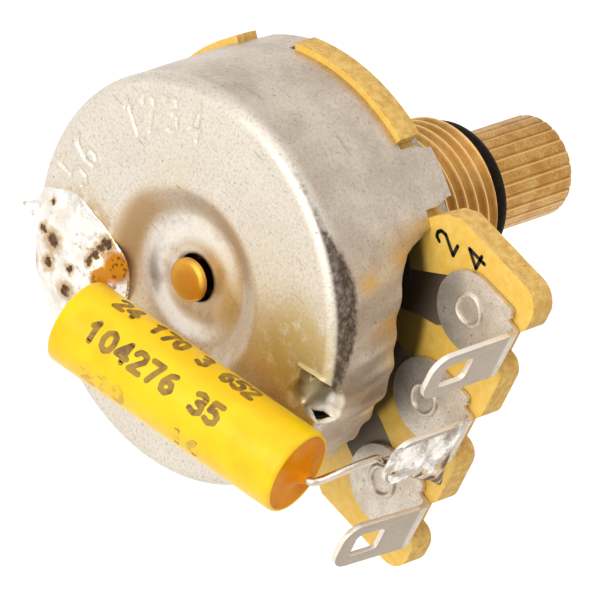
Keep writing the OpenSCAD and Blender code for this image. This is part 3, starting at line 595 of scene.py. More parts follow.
steel = Finish("plate_steel", "#a79d90", 0.4, metallic=1.0)
grain = steel.place.speckle(7.0, 4.0, 0.7)
steel.feed(Base_Color=grain.rising(0.35, 0.65).mixed("#94897c", "#b3a899"),
           Roughness=grain * 0.2 + 0.32)
steel.bump(grain, 0.008)
for name in ("front_plate", "driver", "retaining_ring"):
    dress(name, steel, 0.04)
moulded = Finish("rotor_moulding", "#4a2e1b", 0.5)
grain = moulded.place.speckle(4.0)
moulded.feed(Base_Color=grain.mixed("#3c2413", "#5b3a22"), Roughness=grain * 0.2 + 0.4)
moulded.bump(grain, 0.02)
dress("rotor_disc", moulded, 0.05)
sprung = Finish("spring_strip", "#c9a877", 0.3, metallic=1.0)
grain = sprung.place.stretched(1.0, 1.0, 6.0).speckle(3.0)
sprung.feed(Roughness=grain * 0.25 + 0.2, Base_Color=grain.mixed("#b8935f", "#d9bb8c"))
dress("wiper", sprung, 0.02)


# The bushing: turned brass with a flange behind the panel, a neck through the board and plate,
# and a right-hand 3/8-32 thread cut along its front.
brass = Finish("turned_brass", "#cf9a50", 0.36, metallic=1.0)
SPLINES = 24  # of the shaft's end, whose flanks the finish lights and shades
grain = brass.place.speckle(11.0, 4.0, 0.7)
tarnish = brass.place.speckle(0.9, 4.0, 0.65)
radius = brass.from_axis()
threaded = brass.h.rising(SEAT, SEAT + 0.3)
# painted shade in the thread's roots and painted highlights on its crests
root_shade = radius.rising(4.72, 4.6) * radius.rising(3.9, 4.1) * threaded
crest_highlight = radius.rising(4.7, 4.75) * threaded * brass.h.rising(21.0, 20.85)
tip = brass.h.rising(22.3, 22.6)
in_spline = (brass.around() * (SPLINES / 360) + (SPLINES + 0.5)).fraction()
outside = tip * radius.rising(2.7, 2.8)
lit_flank = in_spline.rising(0.6, 0.66) * in_spline.rising(0.78, 0.7) * outside
dark_flank = in_spline.rising(0.36, 0.46) * in_spline.rising(0.62, 0.54) * outside
# painted shade: the pin's neck and the shaft and bushing inside the can and board are painted near
# black
inside_can_shade = brass.h.rising(0.68, 0.85) * brass.h.rising(9.5, 9.0)
colour = tarnish.rising(0.35, 0.65).mixed("#c08a45", "#d8aa66").under(
    (grain.rising(0.45, 0.7) * 0.45, "#8d6230"),
    (root_shade * 0.55, "#8a5e2a"),
    (crest_highlight * 0.7, "#f0cf94"),
    (tip * grain.rising(0.38, 0.66) * 0.5, "#8f6226"),
    (dark_flank * 0.45, "#80551f"),
    (lit_flank * 0.6, "#edc884"),
    (inside_can_shade * 0.9, "#2e1c0a"),
    (brass.h.rising(0.9, 0.5) * 0.8, "#dba33a"),
)
brass.feed(Base_Color=colour, Roughness=grain * 0.22 + 0.28)
brass.bump(grain, 0.012)
FLANGE_R, NECK_R, BORE_R = 6.6, 3.9, 3.03
FLANGE_H, NECK_H, MOUTH_H = 10.3, 8.0, 20.825
THREAD_R, THREAD_P, THREAD_D, MOUTH_CHAMFER = 4.7625, 0.79375, 0.4, 0.15
# one ridge of the thread, as shares of the pitch and of the depth
RIDGE = ((0, 0), (0.05, 0.02), (0.09, 0.12), (0.27, 0.5), (0.45, 0.88), (0.5, 0.94),
         (0.55, 0.88), (0.73, 0.5), (0.91, 0.12), (0.95, 0.02))
ROUND = 96


def full_turn(columns):
    """Angles of a whole turn, in radians."""
    return np.linspace(0, 2 * math.pi, columns, endpoint=False)


def turned(profile, columns=ROUND):
    """A surface of revolution about the shaft's axis through (radius, height) points."""
    turn = full_turn(columns)
    grid = [np.stack([r * np.cos(turn), r * np.sin(turn), np.full_like(turn, h)], -1)
            for r, h in profile]
    return np.array(grid), quads(len(grid), columns, closed=True)


turn = full_turn(ROUND)
thread = []
turns = math.ceil((MOUTH_H - SEAT) / THREAD_P) + 1
for i in range(-len(RIDGE), turns * len(RIDGE)):
    along, deep = RIDGE[i % len(RIDGE)]
    h = SEAT + THREAD_P * (i // len(RIDGE) + along + turn / (2 * math.pi))
    h = np.clip(h, SEAT, MOUTH_H)
    fade = np.clip(np.minimum(h - SEAT, MOUTH_H - h) / 0.2, 0, 1)  # the thread runs out
    r = np.minimum(THREAD_R - deep * THREAD_D * fade,
                   THREAD_R - np.maximum(h - MOUTH_H + MOUTH_CHAMFER, 0))
    thread.append(np.stack([r * np.cos(turn), r * np.sin(turn), h], -1))
ring = turned([
    (THREAD_R, SEAT), (FLANGE_R - 0.15, SEAT), (FLANGE_R - 0.04, SEAT - 0.04),
    (FLANGE_R, SEAT - 0.15), (FLANGE_R, FLANGE_H + 0.15), (FLANGE_R - 0.15, FLANGE_H),
    (NECK_R, FLANGE_H), (NECK_R, NECK_H), (BORE_R, NECK_H), (BORE_R, MOUTH_H - 0.2),
    (BORE_R + 0.2, MOUTH_H), (THREAD_R - MOUTH_CHAMFER, MOUTH_H),
])
piece("threaded_bushing",
      [(np.array(thread), quads(len(thread), ROUND, closed=True, shift=len(RIDGE))), ring],
      brass.material, nodes=("bushing",), crisp=30)


# The board: a stamped phenolic plate that carries the carbon ring and the terminals, glossy
# yellow on its faces and dull and speckled on its cut edges. It is held between the can's rim and
# the front plate.
board = Finish("phenolic_board", "#f3c65a", 0.4, coat=0.25, specular=0.3)
lumps = board.place.speckle(2.2, 4.0, 0.6)
cut = board.facing(1).rising(0.3, 0.12)
edge_spots = board.place.speckle(1.6, 4.0, 0.6).rising(0.5, 0.7)
dark_spots = board.place.speckle(1.9, 2.0, 0.5).rising(0.68, 0.73)
# painted shade: the board's back inside the can is painted near black
board_shade_inside_can = board.from_axis().rising(11.3, 10.6) * board.h.rising(8.8, 8.5)
colour = lumps.rising(0.3, 0.7).mixed("#e9b94c", "#efc763").under((board_shade_inside_can * 0.85, "#241a10"))
edge_colour = lumps.rising(0.35, 0.65).mixed("#cb9f4c", "#dfb76c").under(
    (edge_spots * 0.3, "#c4924a"), (dark_spots * 0.55, "#7a5326"))
board.feed(Base_Color=cut.mixed(colour, edge_colour), Roughness=cut * 0.4 + 0.3 + lumps * 0.1,
           Coat_Weight=0.25 - cut * 0.25)
board.bump(lumps * 0.5 + cut * edge_spots * 1.5, 0.03)
dress("element_board", board, 0.3)


# The printed tracks: a ring of carbon that the wiper rubs on, a ring of silver ink inside it,
# and silver bands that run out from them to the three terminals.
carbon = Finish("carbon_track", "#24211f", 0.5)
grain = carbon.place.speckle(6.0)
carbon.feed(Roughness=grain * 0.3 + 0.35, Base_Color=grain.mixed("#1c1a19", "#302d2b"))
dress("resistive_track", carbon)
silver = Finish("silver_ink", "#7d6d5a", 0.5, metallic=0.3)
grain = silver.place.speckle(8.0, 4.0, 0.7)
# painted shade: the tracks are painted dark where they run in under the can
clear_of_can_shade = silver.u.rising(8.8, 11.8)
silver.feed(Base_Color=clear_of_can_shade.mixed("#3a2a1c", grain.mixed("#6f5f4c", "#968570")),
            Roughness=grain * 0.25 + 0.35)
silver.bump(grain, 0.006)
dress("collector_track", silver)
BOARD_BACK = CAN_H - 0.008  # a hair in front of the board, so that prints show
LEADS = (
    ("printed_lead_1", ("track_lead_1",),
     ((6.9, -5.0), (8.32, -5.96), (10.27, -7.39), (11.2, -8.06), (12.3, -8.4), (12.6, -6.2),
      (11.6, -4.7), (11.08, -4.22), (9.85, -3.79), (8.47, -3.15), (7.2, -2.9))),
    ("printed_lead_2", (),
     ((7.8, -0.9), (9.25, -0.92), (10.63, -1.11), (11.6, -1.5), (12.4, 0.0), (11.6, 1.9),
      (10.77, 1.23), (9.99, 1.17), (7.8, 1.0))),
    ("printed_lead_3", ("track_lead_3",),
     ((7.0, 2.8), (8.6, 3.1), (10.64, 3.75), (12.13, 4.52), (12.6, 6.4), (12.2, 8.0),
      (11.2, 7.7), (10.29, 7.33), (9.5, 6.98), (8.3, 5.9), (6.6, 4.9))),
)
for name, nodes, outline in LEADS:
    corners = np.array([(u, v, BOARD_BACK) for u, v in outline])
    rim = [a + (b - a) * t for a, b in zip(corners, np.roll(corners, -1, 0))
           for t in (0.0, 0.25, 0.5, 0.75)]
    piece(name, [(rim, [tuple(range(len(rim)))])], silver.material, nodes=nodes, open_sheet=True)


# The board's marks: two digits stamped on its tongue in black ink, made up, where the real part
# has its own.
def inked(glyphs, width, place):
    """Ribbons along the strokes of digits, each given as (digit, x, y, wide, high), that
    place(x, y) puts in place."""
    parts = []
    for digit, x0, y0, wide, high in glyphs:
        for line in STROKES[digit]:
            points = np.array([(x0 + x * wide, y0 + y * high) for x, y in line])
            for a, b in zip(points, points[1:]):
                run = (b - a) / np.linalg.norm(b - a)
                side = np.array([-run[1], run[0]]) * width / 2
                along = [a + (b - a) * t for t in (0, 0.25, 0.5, 0.75, 1)]
                edge = [p + side for p in along] + [p - side for p in along]
                parts.append(([place(*p) for p in edge],
                              [(i, i + 1, i + 6, i + 5) for i in range(4)]))
            for p in points:
                dot = [p + width / 2 * np.array([math.cos(t), math.sin(t)])
                       for t in np.arange(10) * math.pi / 5]
                parts.append(([place(*q) for q in dot], [tuple(range(10))]))
    return parts


ink = Finish("black_ink", "#1f1a14", 0.55)
grain = ink.place.speckle(6.0)
ink.feed(Base_Color=grain.mixed("#15110d", "#2e261c"), Roughness=grain * 0.2 + 0.45)
piece("board_marks",
      inked([("2", 8.62, -10.0, 0.8, 1.55), ("4", 9.2, -12.05, 0.95, 1.3)], 0.24,
            lambda x, y: (-y, -x, BOARD_BACK - 0.01)),
      ink.material, open_sheet=True)


# The terminals: three tinned strips, each with a round end riveted through the board, sheared
# ears, and a lug bent back at a right angle with a round-cornered eye for the wire.
TERM_T, TERM_H, TERM_U, TERM_PITCH = 0.32, 7.9, 12.75, 6.8
PLATE_R, EAR_U, LUG_U, BEND_R = 2.4, 15.35, 16.25, 0.3
LUG_W, TIP_R, EYE_W, EYE_L, EYE_R = 3.2, 1.15, 1.7, 2.15, 0.35
# number, middle across the tongue, height of the tip, height of the eye's end, lean in degrees
LUGS = ((1, -TERM_PITCH - 0.12, 1.5, 2.6, 0.0), (2, -0.1, 1.95, 2.9, 0.0),
        (3, TERM_PITCH, 1.75, 2.8, 3.0))
tin = Finish("tinned_lugs", "#c2b29f", 0.45, metallic=0.6)
grain = tin.place.speckle(9.0, 4.0, 0.7)
cloud = tin.place.speckle(0.8, 3.0, 0.6)
pits = tin.place.speckle(4.5, 2.0, 0.5).rising(0.67, 0.72)
facing_out = tin.facing(0)
lug_part = tin.h.rising(7.4, 7.1)
colour = cloud.rising(0.35, 0.65).mixed("#cdbfac", "#ded2c2").under(
    (grain.rising(0.4, 0.7) * 0.35, "#8d7f6f"),
    (pits * 0.6, "#5d5044"),
    # painted shade on the lugs' outward faces, and painted highlights on their edges and the eyes'
    # walls
    (lug_part * facing_out.rising(0.5, 0.8) * 0.8, "#9f8f7c"),
    (lug_part * facing_out.rising(0.4, 0.1) * 0.7, "#f3ebe0"),
)
tin.feed(Base_Color=colour, Roughness=grain * 0.2 + 0.3)
tin.bump(grain + pits * -1.0, 0.01)


def arc(u, v, r, a, b, steps=8):
    """Points round a corner, angles in degrees."""
    return [(u + r * math.cos(math.radians(t)), v + r * math.sin(math.radians(t)))
            for t in np.linspace(a, b, steps)]


bend_u = LUG_U - TERM_T - BEND_R
bend_l = BEND_R * math.pi / 2
half = LUG_W / 2
far = bend_u + bend_l + TERM_H - BEND_R
for number, middle, tip_h, eye_h, lean in LUGS:
    tip = far - tip_h
    ear = [(EAR_U - 0.32, PLATE_R), (EAR_U - 0.12, PLATE_R - 0.12), (EAR_U - 0.1, PLATE_R - 0.36),
           (EAR_U + 0.02, PLATE_R - 0.44), (EAR_U - 0.16, PLATE_R - 0.62),
           (EAR_U - 0.06, half + 0.06), (EAR_U + 0.12, half)]
    outline = arc(TERM_U, 0, PLATE_R, 90, 270, 32) + [(u, -w) for u, w in ear]
    outline += arc(tip - TIP_R, TIP_R - half, TIP_R, -90, 0)
    outline += arc(tip - TIP_R, half - TIP_R, TIP_R, 0, 90) + ear[::-1]
    near, away, side = far - eye_h - EYE_L + EYE_R, far - eye_h - EYE_R, EYE_W / 2 - EYE_R
    eye = (arc(near, -side, EYE_R, 180, 270, 5) + arc(away, -side, EYE_R, 270, 360, 5)
           + arc(away, side, EYE_R, 0, 90, 5) + arc(near, side, EYE_R, 90, 180, 5))
    cuts = [((s, -half - 0.01), (s, half + 0.01)) for s in bend_u + bend_l * np.linspace(0, 1, 9)]
    flat_points, triangles = blanked(outline, [eye], cuts)
    shaped = []
    for s, w in flat_points:
        turned_by = min(max((s - bend_u) / BEND_R, 0), math.pi / 2)
        rest = max(s - bend_u - bend_l, 0)
        u = min(s, bend_u) + BEND_R * math.sin(turned_by) - rest * math.tan(math.radians(lean))
        shaped.append((u, middle + w, TERM_H - BEND_R * (1 - math.cos(turned_by)) - rest))
    lug = piece(f"lug_{number}", [(shaped, triangles)], tin.material,
                nodes=(f"terminal_{number}",), open_sheet=True)
    modifier(lug, "SOLIDIFY", thickness=TERM_T * MM, offset=1)
    modifier(lug, "BEVEL", width=0.06 * MM, segments=2, limit_method="ANGLE",
             angle_limit=math.radians(50))


# The rivets: hollow tinned eyelets, one through each terminal, the board and its track, with
# their rims rolled over on both sides.
RIVET_R, RIVET_HEAD, RIVET_CUP, PLATE_H = 0.78, 1.08, 0.6, 9.85
for number, middle in ((1, -TERM_PITCH - 0.3), (2, -0.1), (3, TERM_PITCH - 0.3)):
    profile = [(0.0, TERM_H + 0.28), (0.45, TERM_H + 0.29), (RIVET_CUP - 0.05, TERM_H + 0.27),
               (RIVET_CUP, TERM_H + 0.22), (RIVET_CUP + 0.05, TERM_H + 0.08),
               (RIVET_CUP + 0.12, TERM_H - 0.08), (RIVET_CUP + 0.22, TERM_H - 0.19),
               (RIVET_CUP + 0.3, TERM_H - 0.2), (RIVET_HEAD - 0.06, TERM_H - 0.12),
               (RIVET_HEAD, TERM_H + 0.01), (RIVET_R, TERM_H + 0.05),
               (RIVET_R, PLATE_H), (RIVET_HEAD - 0.05, PLATE_H), (RIVET_HEAD, PLATE_H + 0.12),
               (RIVET_HEAD - 0.12, PLATE_H + 0.29), (0.0, PLATE_H + 0.3)]
    grid, faces = turned(profile, 48)
    turn = full_turn(48)
    swell = 1 + 0.025 * np.sin(3 * turn + number) + 0.015 * np.sin(5 * turn + 2 * number)
    grid[:, :, :2] *= swell[None, :, None]
    grid += np.array((TERM_U, middle, 0))
    piece(f"rivet_head_{number}", [(grid, faces)], tin.material,
          nodes=(f"rivet_{number}",), crisp=60)


# The capacitor's sleeve: yellow film wound round the core in turns, with its end left as a low
# step along the side. The wires hold it aslant behind the can.
CAP_R, CAP_L, FILM = 2.57, 16.3, 0.12
CAP_END = Vector((13.66, 1.37, -2.25))
tilt, slew = math.radians(7.8), math.radians(-8.5)
cap_dir = Vector((math.cos(tilt) * math.cos(slew), math.cos(tilt) * math.sin(slew), math.sin(tilt)))
cap_out = (Vector((0, 0, -1)) - cap_dir * cap_dir.dot(Vector((0, 0, -1)))).normalized()
cap_side = cap_out.cross(cap_dir)
SEAM_A, SEAM_STEP = 128, 0.04


def on_cap(a, r, turn):
    """A point along the capacitor from its front end, out from its axis, round from its outside."""
    return CAP_END + cap_dir * a + (cap_out * math.cos(turn) + cap_side * math.sin(turn)) * r


def sleeve_r(turn, lift=0.0):
    """The film's outside: one turn winds out a little and ends in a step at the seam."""
    return CAP_R + SEAM_STEP * (((math.degrees(turn) - SEAM_A) % 360) / 360 - 0.5) + lift


def wound(profile, columns, seam=False, bulge=None):
    """A surface round the capacitor's axis through (place along it, radius) points; seam winds
    it out like the film, and bulge(radius, angle) moves it along the axis."""
    turn = full_turn(columns) + math.radians(SEAM_A + 0.5)
    grid = [[on_cap(a + (bulge(r, t) if bulge else 0),
                    r + (sleeve_r(t) - CAP_R if seam else 0), t) for t in turn]
            for a, r in profile]
    return np.array(grid), quads(len(grid), columns, closed=True)


film = Finish("yellow_film", "#f0c404", 0.34, coat=0.08, specular=0.25)
cloud = film.place.speckle(0.5, 3.0, 0.5)
fleck = film.place.speckle(5.0, 2.0, 0.5).rising(0.68, 0.76)
colour = cloud.rising(0.35, 0.65).mixed("#edbc02", "#f3c90a").under((fleck * 0.25, "#c9a51c"))
film.feed(Base_Color=colour, Roughness=cloud * 0.15 + 0.25)
film.bump(cloud * 2.0 + film.place.speckle(3.0) * 0.3, 0.02)
rear, core = -CAP_L, CAP_R - FILM
profile = [(rear + 1.4, core), (rear + 0.1, core), (rear, CAP_R - 0.09),
           (rear + 0.03, CAP_R - 0.03), (rear + 0.12, CAP_R)]
profile += [(a, CAP_R) for a in np.linspace(rear + 0.8, -0.8, 16)]
profile += [(-0.36, CAP_R), (-0.2, CAP_R - 0.015), (-0.08, CAP_R - 0.06), (-0.01, CAP_R - 0.14),
            (0, CAP_R - 0.2), (-0.05, CAP_R - 0.25), (-0.4, core), (-1.4, core),
            (-1.4, core - 0.2), (rear + 1.4, core - 0.2), (rear + 1.4, core)]
piece("film_sleeve", [wound(profile, 128, seam=True)], film.material,
      nodes=("cap_sleeve",), crisp=50)
dress("cap_winding", film)


# The capacitor's print: three rows of made-up digits in brown ink that has faded on the film,
# the third of them almost gone.
faded = Finish("faded_ink", "#a8852a", 0.45)
patchy = faded.place.speckle(1.3, 3.0, 0.6)
faded.feed(Base_Color=patchy.rising(0.38, 0.6).mixed("#6f4c08", "#9c7608"))
pale = Finish("pale_ink", "#d8b21a", 0.45)
patchy = pale.place.speckle(1.3, 3.0, 0.6)
pale.feed(Base_Color=patchy.rising(0.4, 0.62).mixed("#cda21a", "#edc408"))
PRINT_H, PRINT_LINE, PRINT_LIFT = 1.15, 0.36, 0.006
# angle round the capacitor, digits, where the row starts, spacing, ink
PRINT = ((97, "24 170 3 652", 2.1, 0.86, faded), (38, "104276 35", 2.0, 1.1, faded),
         (-20, "270   14", 2.6, 1.1, pale))


def on_sleeve(centre):
    """Puts x along the sleeve and y round it, from a line at that angle."""
    def place(x, y):
        turn = math.radians(centre) + y / CAP_R
        return on_cap(x - CAP_L, sleeve_r(turn, PRINT_LIFT), turn)
    return place


for row, (centre, digits, start, pitch, kind) in enumerate(PRINT, 1):
    glyphs = [(digit, start + i * pitch, -0.55, 0.72 * pitch, PRINT_H)
              for i, digit in enumerate(digits) if digit != " "]
    piece(f"print_row_{row}", inked(glyphs, PRINT_LINE, on_sleeve(centre)), kind.material,
          open_sheet=True)


# The capacitor's ends: orange resin poured into the sleeve and set round the wires, drawn up
# into a cone where the front wire leaves it.
resin = Finish("orange_resin", "#df8500", 0.35, specular=0.06)
cloud = resin.place.speckle(0.7, 3.0, 0.55)
resin.feed(Base_Color=cloud.rising(0.3, 0.7).mixed("#d27600", "#e08c02"),
           Roughness=cloud * 0.2 + 0.2)
resin.bump(cloud, 0.05)
WIRE_R, CONE_L = 0.24, 0.7


def climbs(r, turn):
    """How far the resin stands up towards the wire on one side."""
    beside = math.exp(-(wrapped(math.degrees(turn) - 150) / 38) ** 2)
    return 0.34 * beside * math.exp(-((r - 0.9) / 0.75) ** 2)


front = [(-1.5, 0.05), (-1.5, core), (-0.5, core), (-0.2, core - 0.08), (-0.03, core - 0.12),
         (-0.05, core - 0.2), (-0.1, 1.9), (-0.12, 1.4), (-0.1, 1.05), (-0.02, 0.8), (0.12, 0.6),
         (0.34, 0.45), (CONE_L - 0.12, 0.34), (CONE_L, WIRE_R)]
piece("resin_front", [wound(front, 64, bulge=climbs)], resin.material,
      nodes=("cap_seal_front",), crisp=60)
back_end = [(rear + 1.5, 0.05), (rear + 1.5, core), (rear + 0.06, core),
            (rear + 0.1, core - 0.06), (rear + 0.16, core - 0.3), (rear + 0.18, 1.4),
            (rear + 0.1, 0.6), (rear - 0.05, WIRE_R)]
piece("resin_rear", [wound(back_end, 64)], resin.material,
      nodes=("cap_seal_rear",), crisp=60)


# The wires: tinned copper, one bent from the front end to the middle lug, one from the rear end
# down to the can's back, each soldered there.
def smooth(a, b, c, d, steps):
    """Points from b towards c on a smooth line through a, b, c and d."""
    return [0.5 * (2 * b + (c - a) * t + (2 * a - 5 * b + 4 * c - d) * t * t
                   + (3 * b - a - 3 * c + d) * t**3) for t in np.arange(steps) / steps]


def spline(points, steps=10):
    """A smooth line through points, straight up to the second of them."""
    knots = [np.array(p, float) for p in points]
    line = [knots[0]]
    for i in range(1, len(knots) - 1):
        line += smooth(*knots[i - 1:i + 2], knots[min(i + 2, len(knots) - 1)], steps)
    return np.array(line + [knots[-1]])


def tube(line, r, sides=20):
    """A round wire along a line, with rounded ends."""
    ahead = np.gradient(line, axis=0)
    ahead /= np.linalg.norm(ahead, axis=1)[:, None]
    side = np.cross(ahead[0], (0.3, 0.1, 0.9))
    rows = []
    for i, (p, t) in enumerate(zip(line, ahead)):
        side = side - t * side.dot(t)
        side /= np.linalg.norm(side)
        up = np.cross(t, side)
        shrink = 0.6 if i in (0, len(line) - 1) else 1.0
        turn = full_turn(sides)
        rows.append(p + r * shrink * (np.outer(np.cos(turn), side) + np.outer(np.sin(turn), up)))
    faces = quads(len(rows), sides, closed=True)
    last = (len(rows) - 1) * sides
    return np.array(rows), faces + [tuple(range(sides)), tuple(last + i for i in range(sides))]


wire = Finish("tinned_wire", "#cdbca8", 0.22, metallic=1.0)
grain = wire.place.speckle(6.0)
wire.feed(Base_Color=grain.mixed("#b7a591", "#ddcfbf"), Roughness=grain * 0.2 + 0.14)
wire.bump(grain, 0.01)
front_exit = CAP_END + cap_dir * 0.8
rear_exit = CAP_END - cap_dir * (CAP_L + 0.58)
front_line = [CAP_END - cap_dir * 1.11, front_exit, (14.8, 1.0, -1.75), (15.08, 0.55, -1.4),
              (15.36, 0.05, -0.9), (15.5, -0.25, -0.3), (15.56, -0.37, 0.55), (15.58, -0.33, 1.44),
              (15.62, 0.1, 2.25), (15.64, 0.2, 3.1)]
rear_line = [rear_exit + cap_dir * 1.9, rear_exit, rear_exit + WIRE_R * Vector((-2.4, 0.5, 1.8)),
             rear_exit + WIRE_R * Vector((-3.5, 0.8, 5.2)),
             (rear_exit[0] - 3.5 * WIRE_R, rear_exit[1] + WIRE_R, -2.4 * WIRE_R)]
for name, line, node in (("wire_to_lug", front_line, "cap_lead_lug"),
                         ("wire_to_can", rear_line, "cap_lead_can")):
    piece(name, [tube(spline(line), WIRE_R - 0.01)], wire.material, nodes=(node,))


# The solder on the can: a bright mound drawn out over the edge into a thorn, scorched in spots and
# with amber flux at its side. It froze round the capacitor's rear wire.
def solder_finish(name, burnt, amber, dark_reflection_share):
    """Bright frozen solder; burnt and amber list (u, v, h, radius) of scorched flux; the last argument
    is the share of painted dark reflections in patches.
    """
    made = Finish(name, "#e6dfd3", 0.16, metallic=1.0, specular=0.1)
    small = made.place.speckle(3.2, 4.0, 0.65)
    specks = made.place.speckle(2.4, 2.0, 0.5).rising(0.64, 0.7)

    def patches(spots, spread):
        total = None
        for u, v, h, radius in spots:
            far = ((made.u - u) ** 2.0 + (made.v - v) ** 2.0 + (made.h - h) ** 2.0) ** 0.5
            patch = (far + (small - 0.5) * 0.7).rising(radius * spread, radius * spread * 0.55)
            total = patch if total is None else total.most(patch)
        return total

    scorch = patches(burnt, 0.8)
    # painted dark reflections in patches
    dark_reflection = made.place.speckle(0.9, 4.0, 0.7).rising(0.42, 0.62) * dark_reflection_share
    layers = [(dark_reflection, "#857a6c"), (patches(burnt, 1.5) * 0.75, "#b8935a"),
              (specks * 0.5, "#a07a40")]
    metal = 1.0 - scorch * 0.8
    if amber:
        glass = patches(amber, 1.0)
        layers.append((glass, small.rising(0.52, 0.62).mixed("#c07c08", "#6b3a06")))
        metal = metal * (1.0 - glass)
    layers.append((scorch * 0.92, small.rising(0.35, 0.6).mixed("#2a1709", "#5e3d20")))
    bright = made.place.speckle(0.8).rising(0.35, 0.65).mixed("#ddd5c9", "#f3eee6")
    made.feed(Base_Color=bright.under(*layers), Metallic=metal,
              Roughness=small * 0.16 + 0.08 + scorch * 0.25)
    made.bump(small * 0.3 + scorch * 0.5 + made.place.speckle(0.9, 2.0, 0.5) * 1.6, 0.04)
    return made


def closed_curve(points, steps=8):
    """A smooth closed line through points."""
    knots, n = [np.array(p, float) for p in points], len(points)
    line = []
    for i in range(n):
        line += smooth(*(knots[(i + k) % n] for k in (-1, 0, 1, 2)), steps)
    return np.array(line)


def frozen(outline, centre, lift, place, rings=22):
    """A closed blob: lift(x, y, t) above a surface, t from 0 at the centre to 1 at the outline."""
    rim = closed_curve(outline)

    def ring(t, height=None):
        """The outline drawn in to t, on the blob's skin or at a height."""
        points = [centre + (p - centre) * t for p in rim]
        return [place(*p, lift(*p, t) if height is None else height) for p in points]

    rows = [ring(t) for t in np.sin(np.linspace(0.02, math.pi / 2, rings))]
    rows += [ring(1.0, -0.1), ring(0.02, -0.1)]
    return np.array(rows), quads(len(rows), len(rim), closed=True)


def humps(x, y, spots):
    """Sum of rounded heaps, each (x, y, radius, height)."""
    return sum(high * math.exp(-((x - a) ** 2 + (y - b) ** 2) / (r * r)) for a, b, r, high in spots)


def on_can(u, v, lift):
    """A point over the can's back, following its rounded edge."""
    return can_surface(np.hypot(u, v), np.arctan2(v, u), lift)


MOUND = [(-5.46, 1.58), (-6.52, 1.4), (-7.57, 1.34), (-8.66, 1.25), (-9.83, 1.7), (-11.0, 2.6),
         (-11.6, 3.5), (-11.9, 4.6), (-11.5, 5.4), (-10.6, 6.3), (-9.6, 7.6), (-8.1, 8.7),
         (-6.6, 9.4), (-5.2, 8.4), (-3.8, 6.6), (-2.9, 4.9), (-2.97, 3.44), (-3.9, 2.1)]
HEAPS = ((-8.8, 2.9, 1.6, 0.35), (-9.8, 4.6, 1.3, 0.3), (-6.4, 3.6, 1.2, 0.3),
         (-4.9, 4.4, 1.1, 0.8), (-7.4, 6.4, 1.5, 0.4), (-5.4, 6.8, 1.3, 0.3),
         (-8.9, 7.4, 1.3, 0.35), (-8.7, 4.7, 0.5, -0.2))
# scorched spots and amber flux, as places and radii
BURNT = ((-8.72, 4.61, -0.6, 0.7), (-8.32, 6.0, -0.5, 0.5), (-6.81, 5.11, -0.5, 0.35),
         (-6.44, 6.45, -0.5, 0.6), (-5.53, 2.1, -0.2, 0.55), (-5.62, 2.5, -0.4, 0.5),
         (-5.75, 3.0, -0.5, 0.45), (-5.8, 3.5, -0.7, 0.4), (-11.95, 4.6, -0.35, 0.45),
         (-11.75, 4.85, -0.2, 0.35), (-11.5, 5.1, -0.1, 0.3), (-9.6, 4.5, -0.5, 0.4),
         (-9.6, 6.9, -0.2, 0.6), (-9.9, 2.75, -0.3, 0.25))
AMBER = ((-4.2, 2.7, -0.4, 1.25), (-4.6, 3.6, -0.9, 0.9))
THORN = ((-9.9, 4.1, 0.1), (-10.6, 4.25, -0.05), (-11.3, 4.4, -0.25), (-11.85, 4.53, -0.35))
CORD = ((-4.2, 4.1, -1.2), (-4.9, 4.2, -0.75), (-5.8, 4.3, -0.6), (-6.8, 4.4, -0.45),
        (-7.8, 4.6, -0.2))


def mound_lift(u, v, t):
    """The mound's height, which falls off towards its outline."""
    lumpy = (0.16 * noise.noise(Vector((u * 0.9, v * 0.9, 1.3)))
             + 0.07 * noise.noise(Vector((u * 2.2, v * 2.2, 4.1))))
    return (1 - t**2.6) ** 0.8 * (0.3 + humps(u, v, HEAPS) + lumpy) + 0.02 * (1 - t)


def drawn_out(points, thick):
    """A string of solder along points; thick gives its radius from 0 to 1 along it."""
    line = spline(points)
    skin, faces = tube(line, 1.0, 16)
    radius = thick(np.linspace(0, 1, len(line)))[:, None, None]
    return line[:, None, :], (skin - line[:, None, :]) * radius, faces


# a little painted dark reflection on the can's solder
can_solder = solder_finish("can_solder", BURNT, AMBER, 0.1)
line, skin, thorn_faces = drawn_out(THORN, lambda t: 0.95 * (1 - t) ** 1.3 + 0.05)
thorn = line + skin * (1, 1, 0.55)  # the thorn is flat
line, skin, cord_faces = drawn_out(CORD, lambda t: 0.3 - 0.14 * t)
mound = frozen(MOUND, np.array((-7.4, 4.6)), mound_lift, on_can, 30)
blob = piece("can_solder", [mound, (thorn, thorn_faces), (line + skin, cord_faces)],
             can_solder.material, nodes=("solder_can",), crisp=70)
modifier(blob, "REMESH", mode="VOXEL", voxel_size=0.09 * MM, use_smooth_shade=True)
modifier(blob, "SMOOTH", factor=0.5, iterations=8)


# The solder on the middle lug: a coat over its outer face, lumpy and scorched and painted with patches
# of dark reflection, with a web at the lug's root. It froze round the capacitor's front wire and hides
# the eye.
def on_lug(v, h, lift):
    """A point out from the middle lug's outer face."""
    return np.array((LUG_U + lift, v, h))


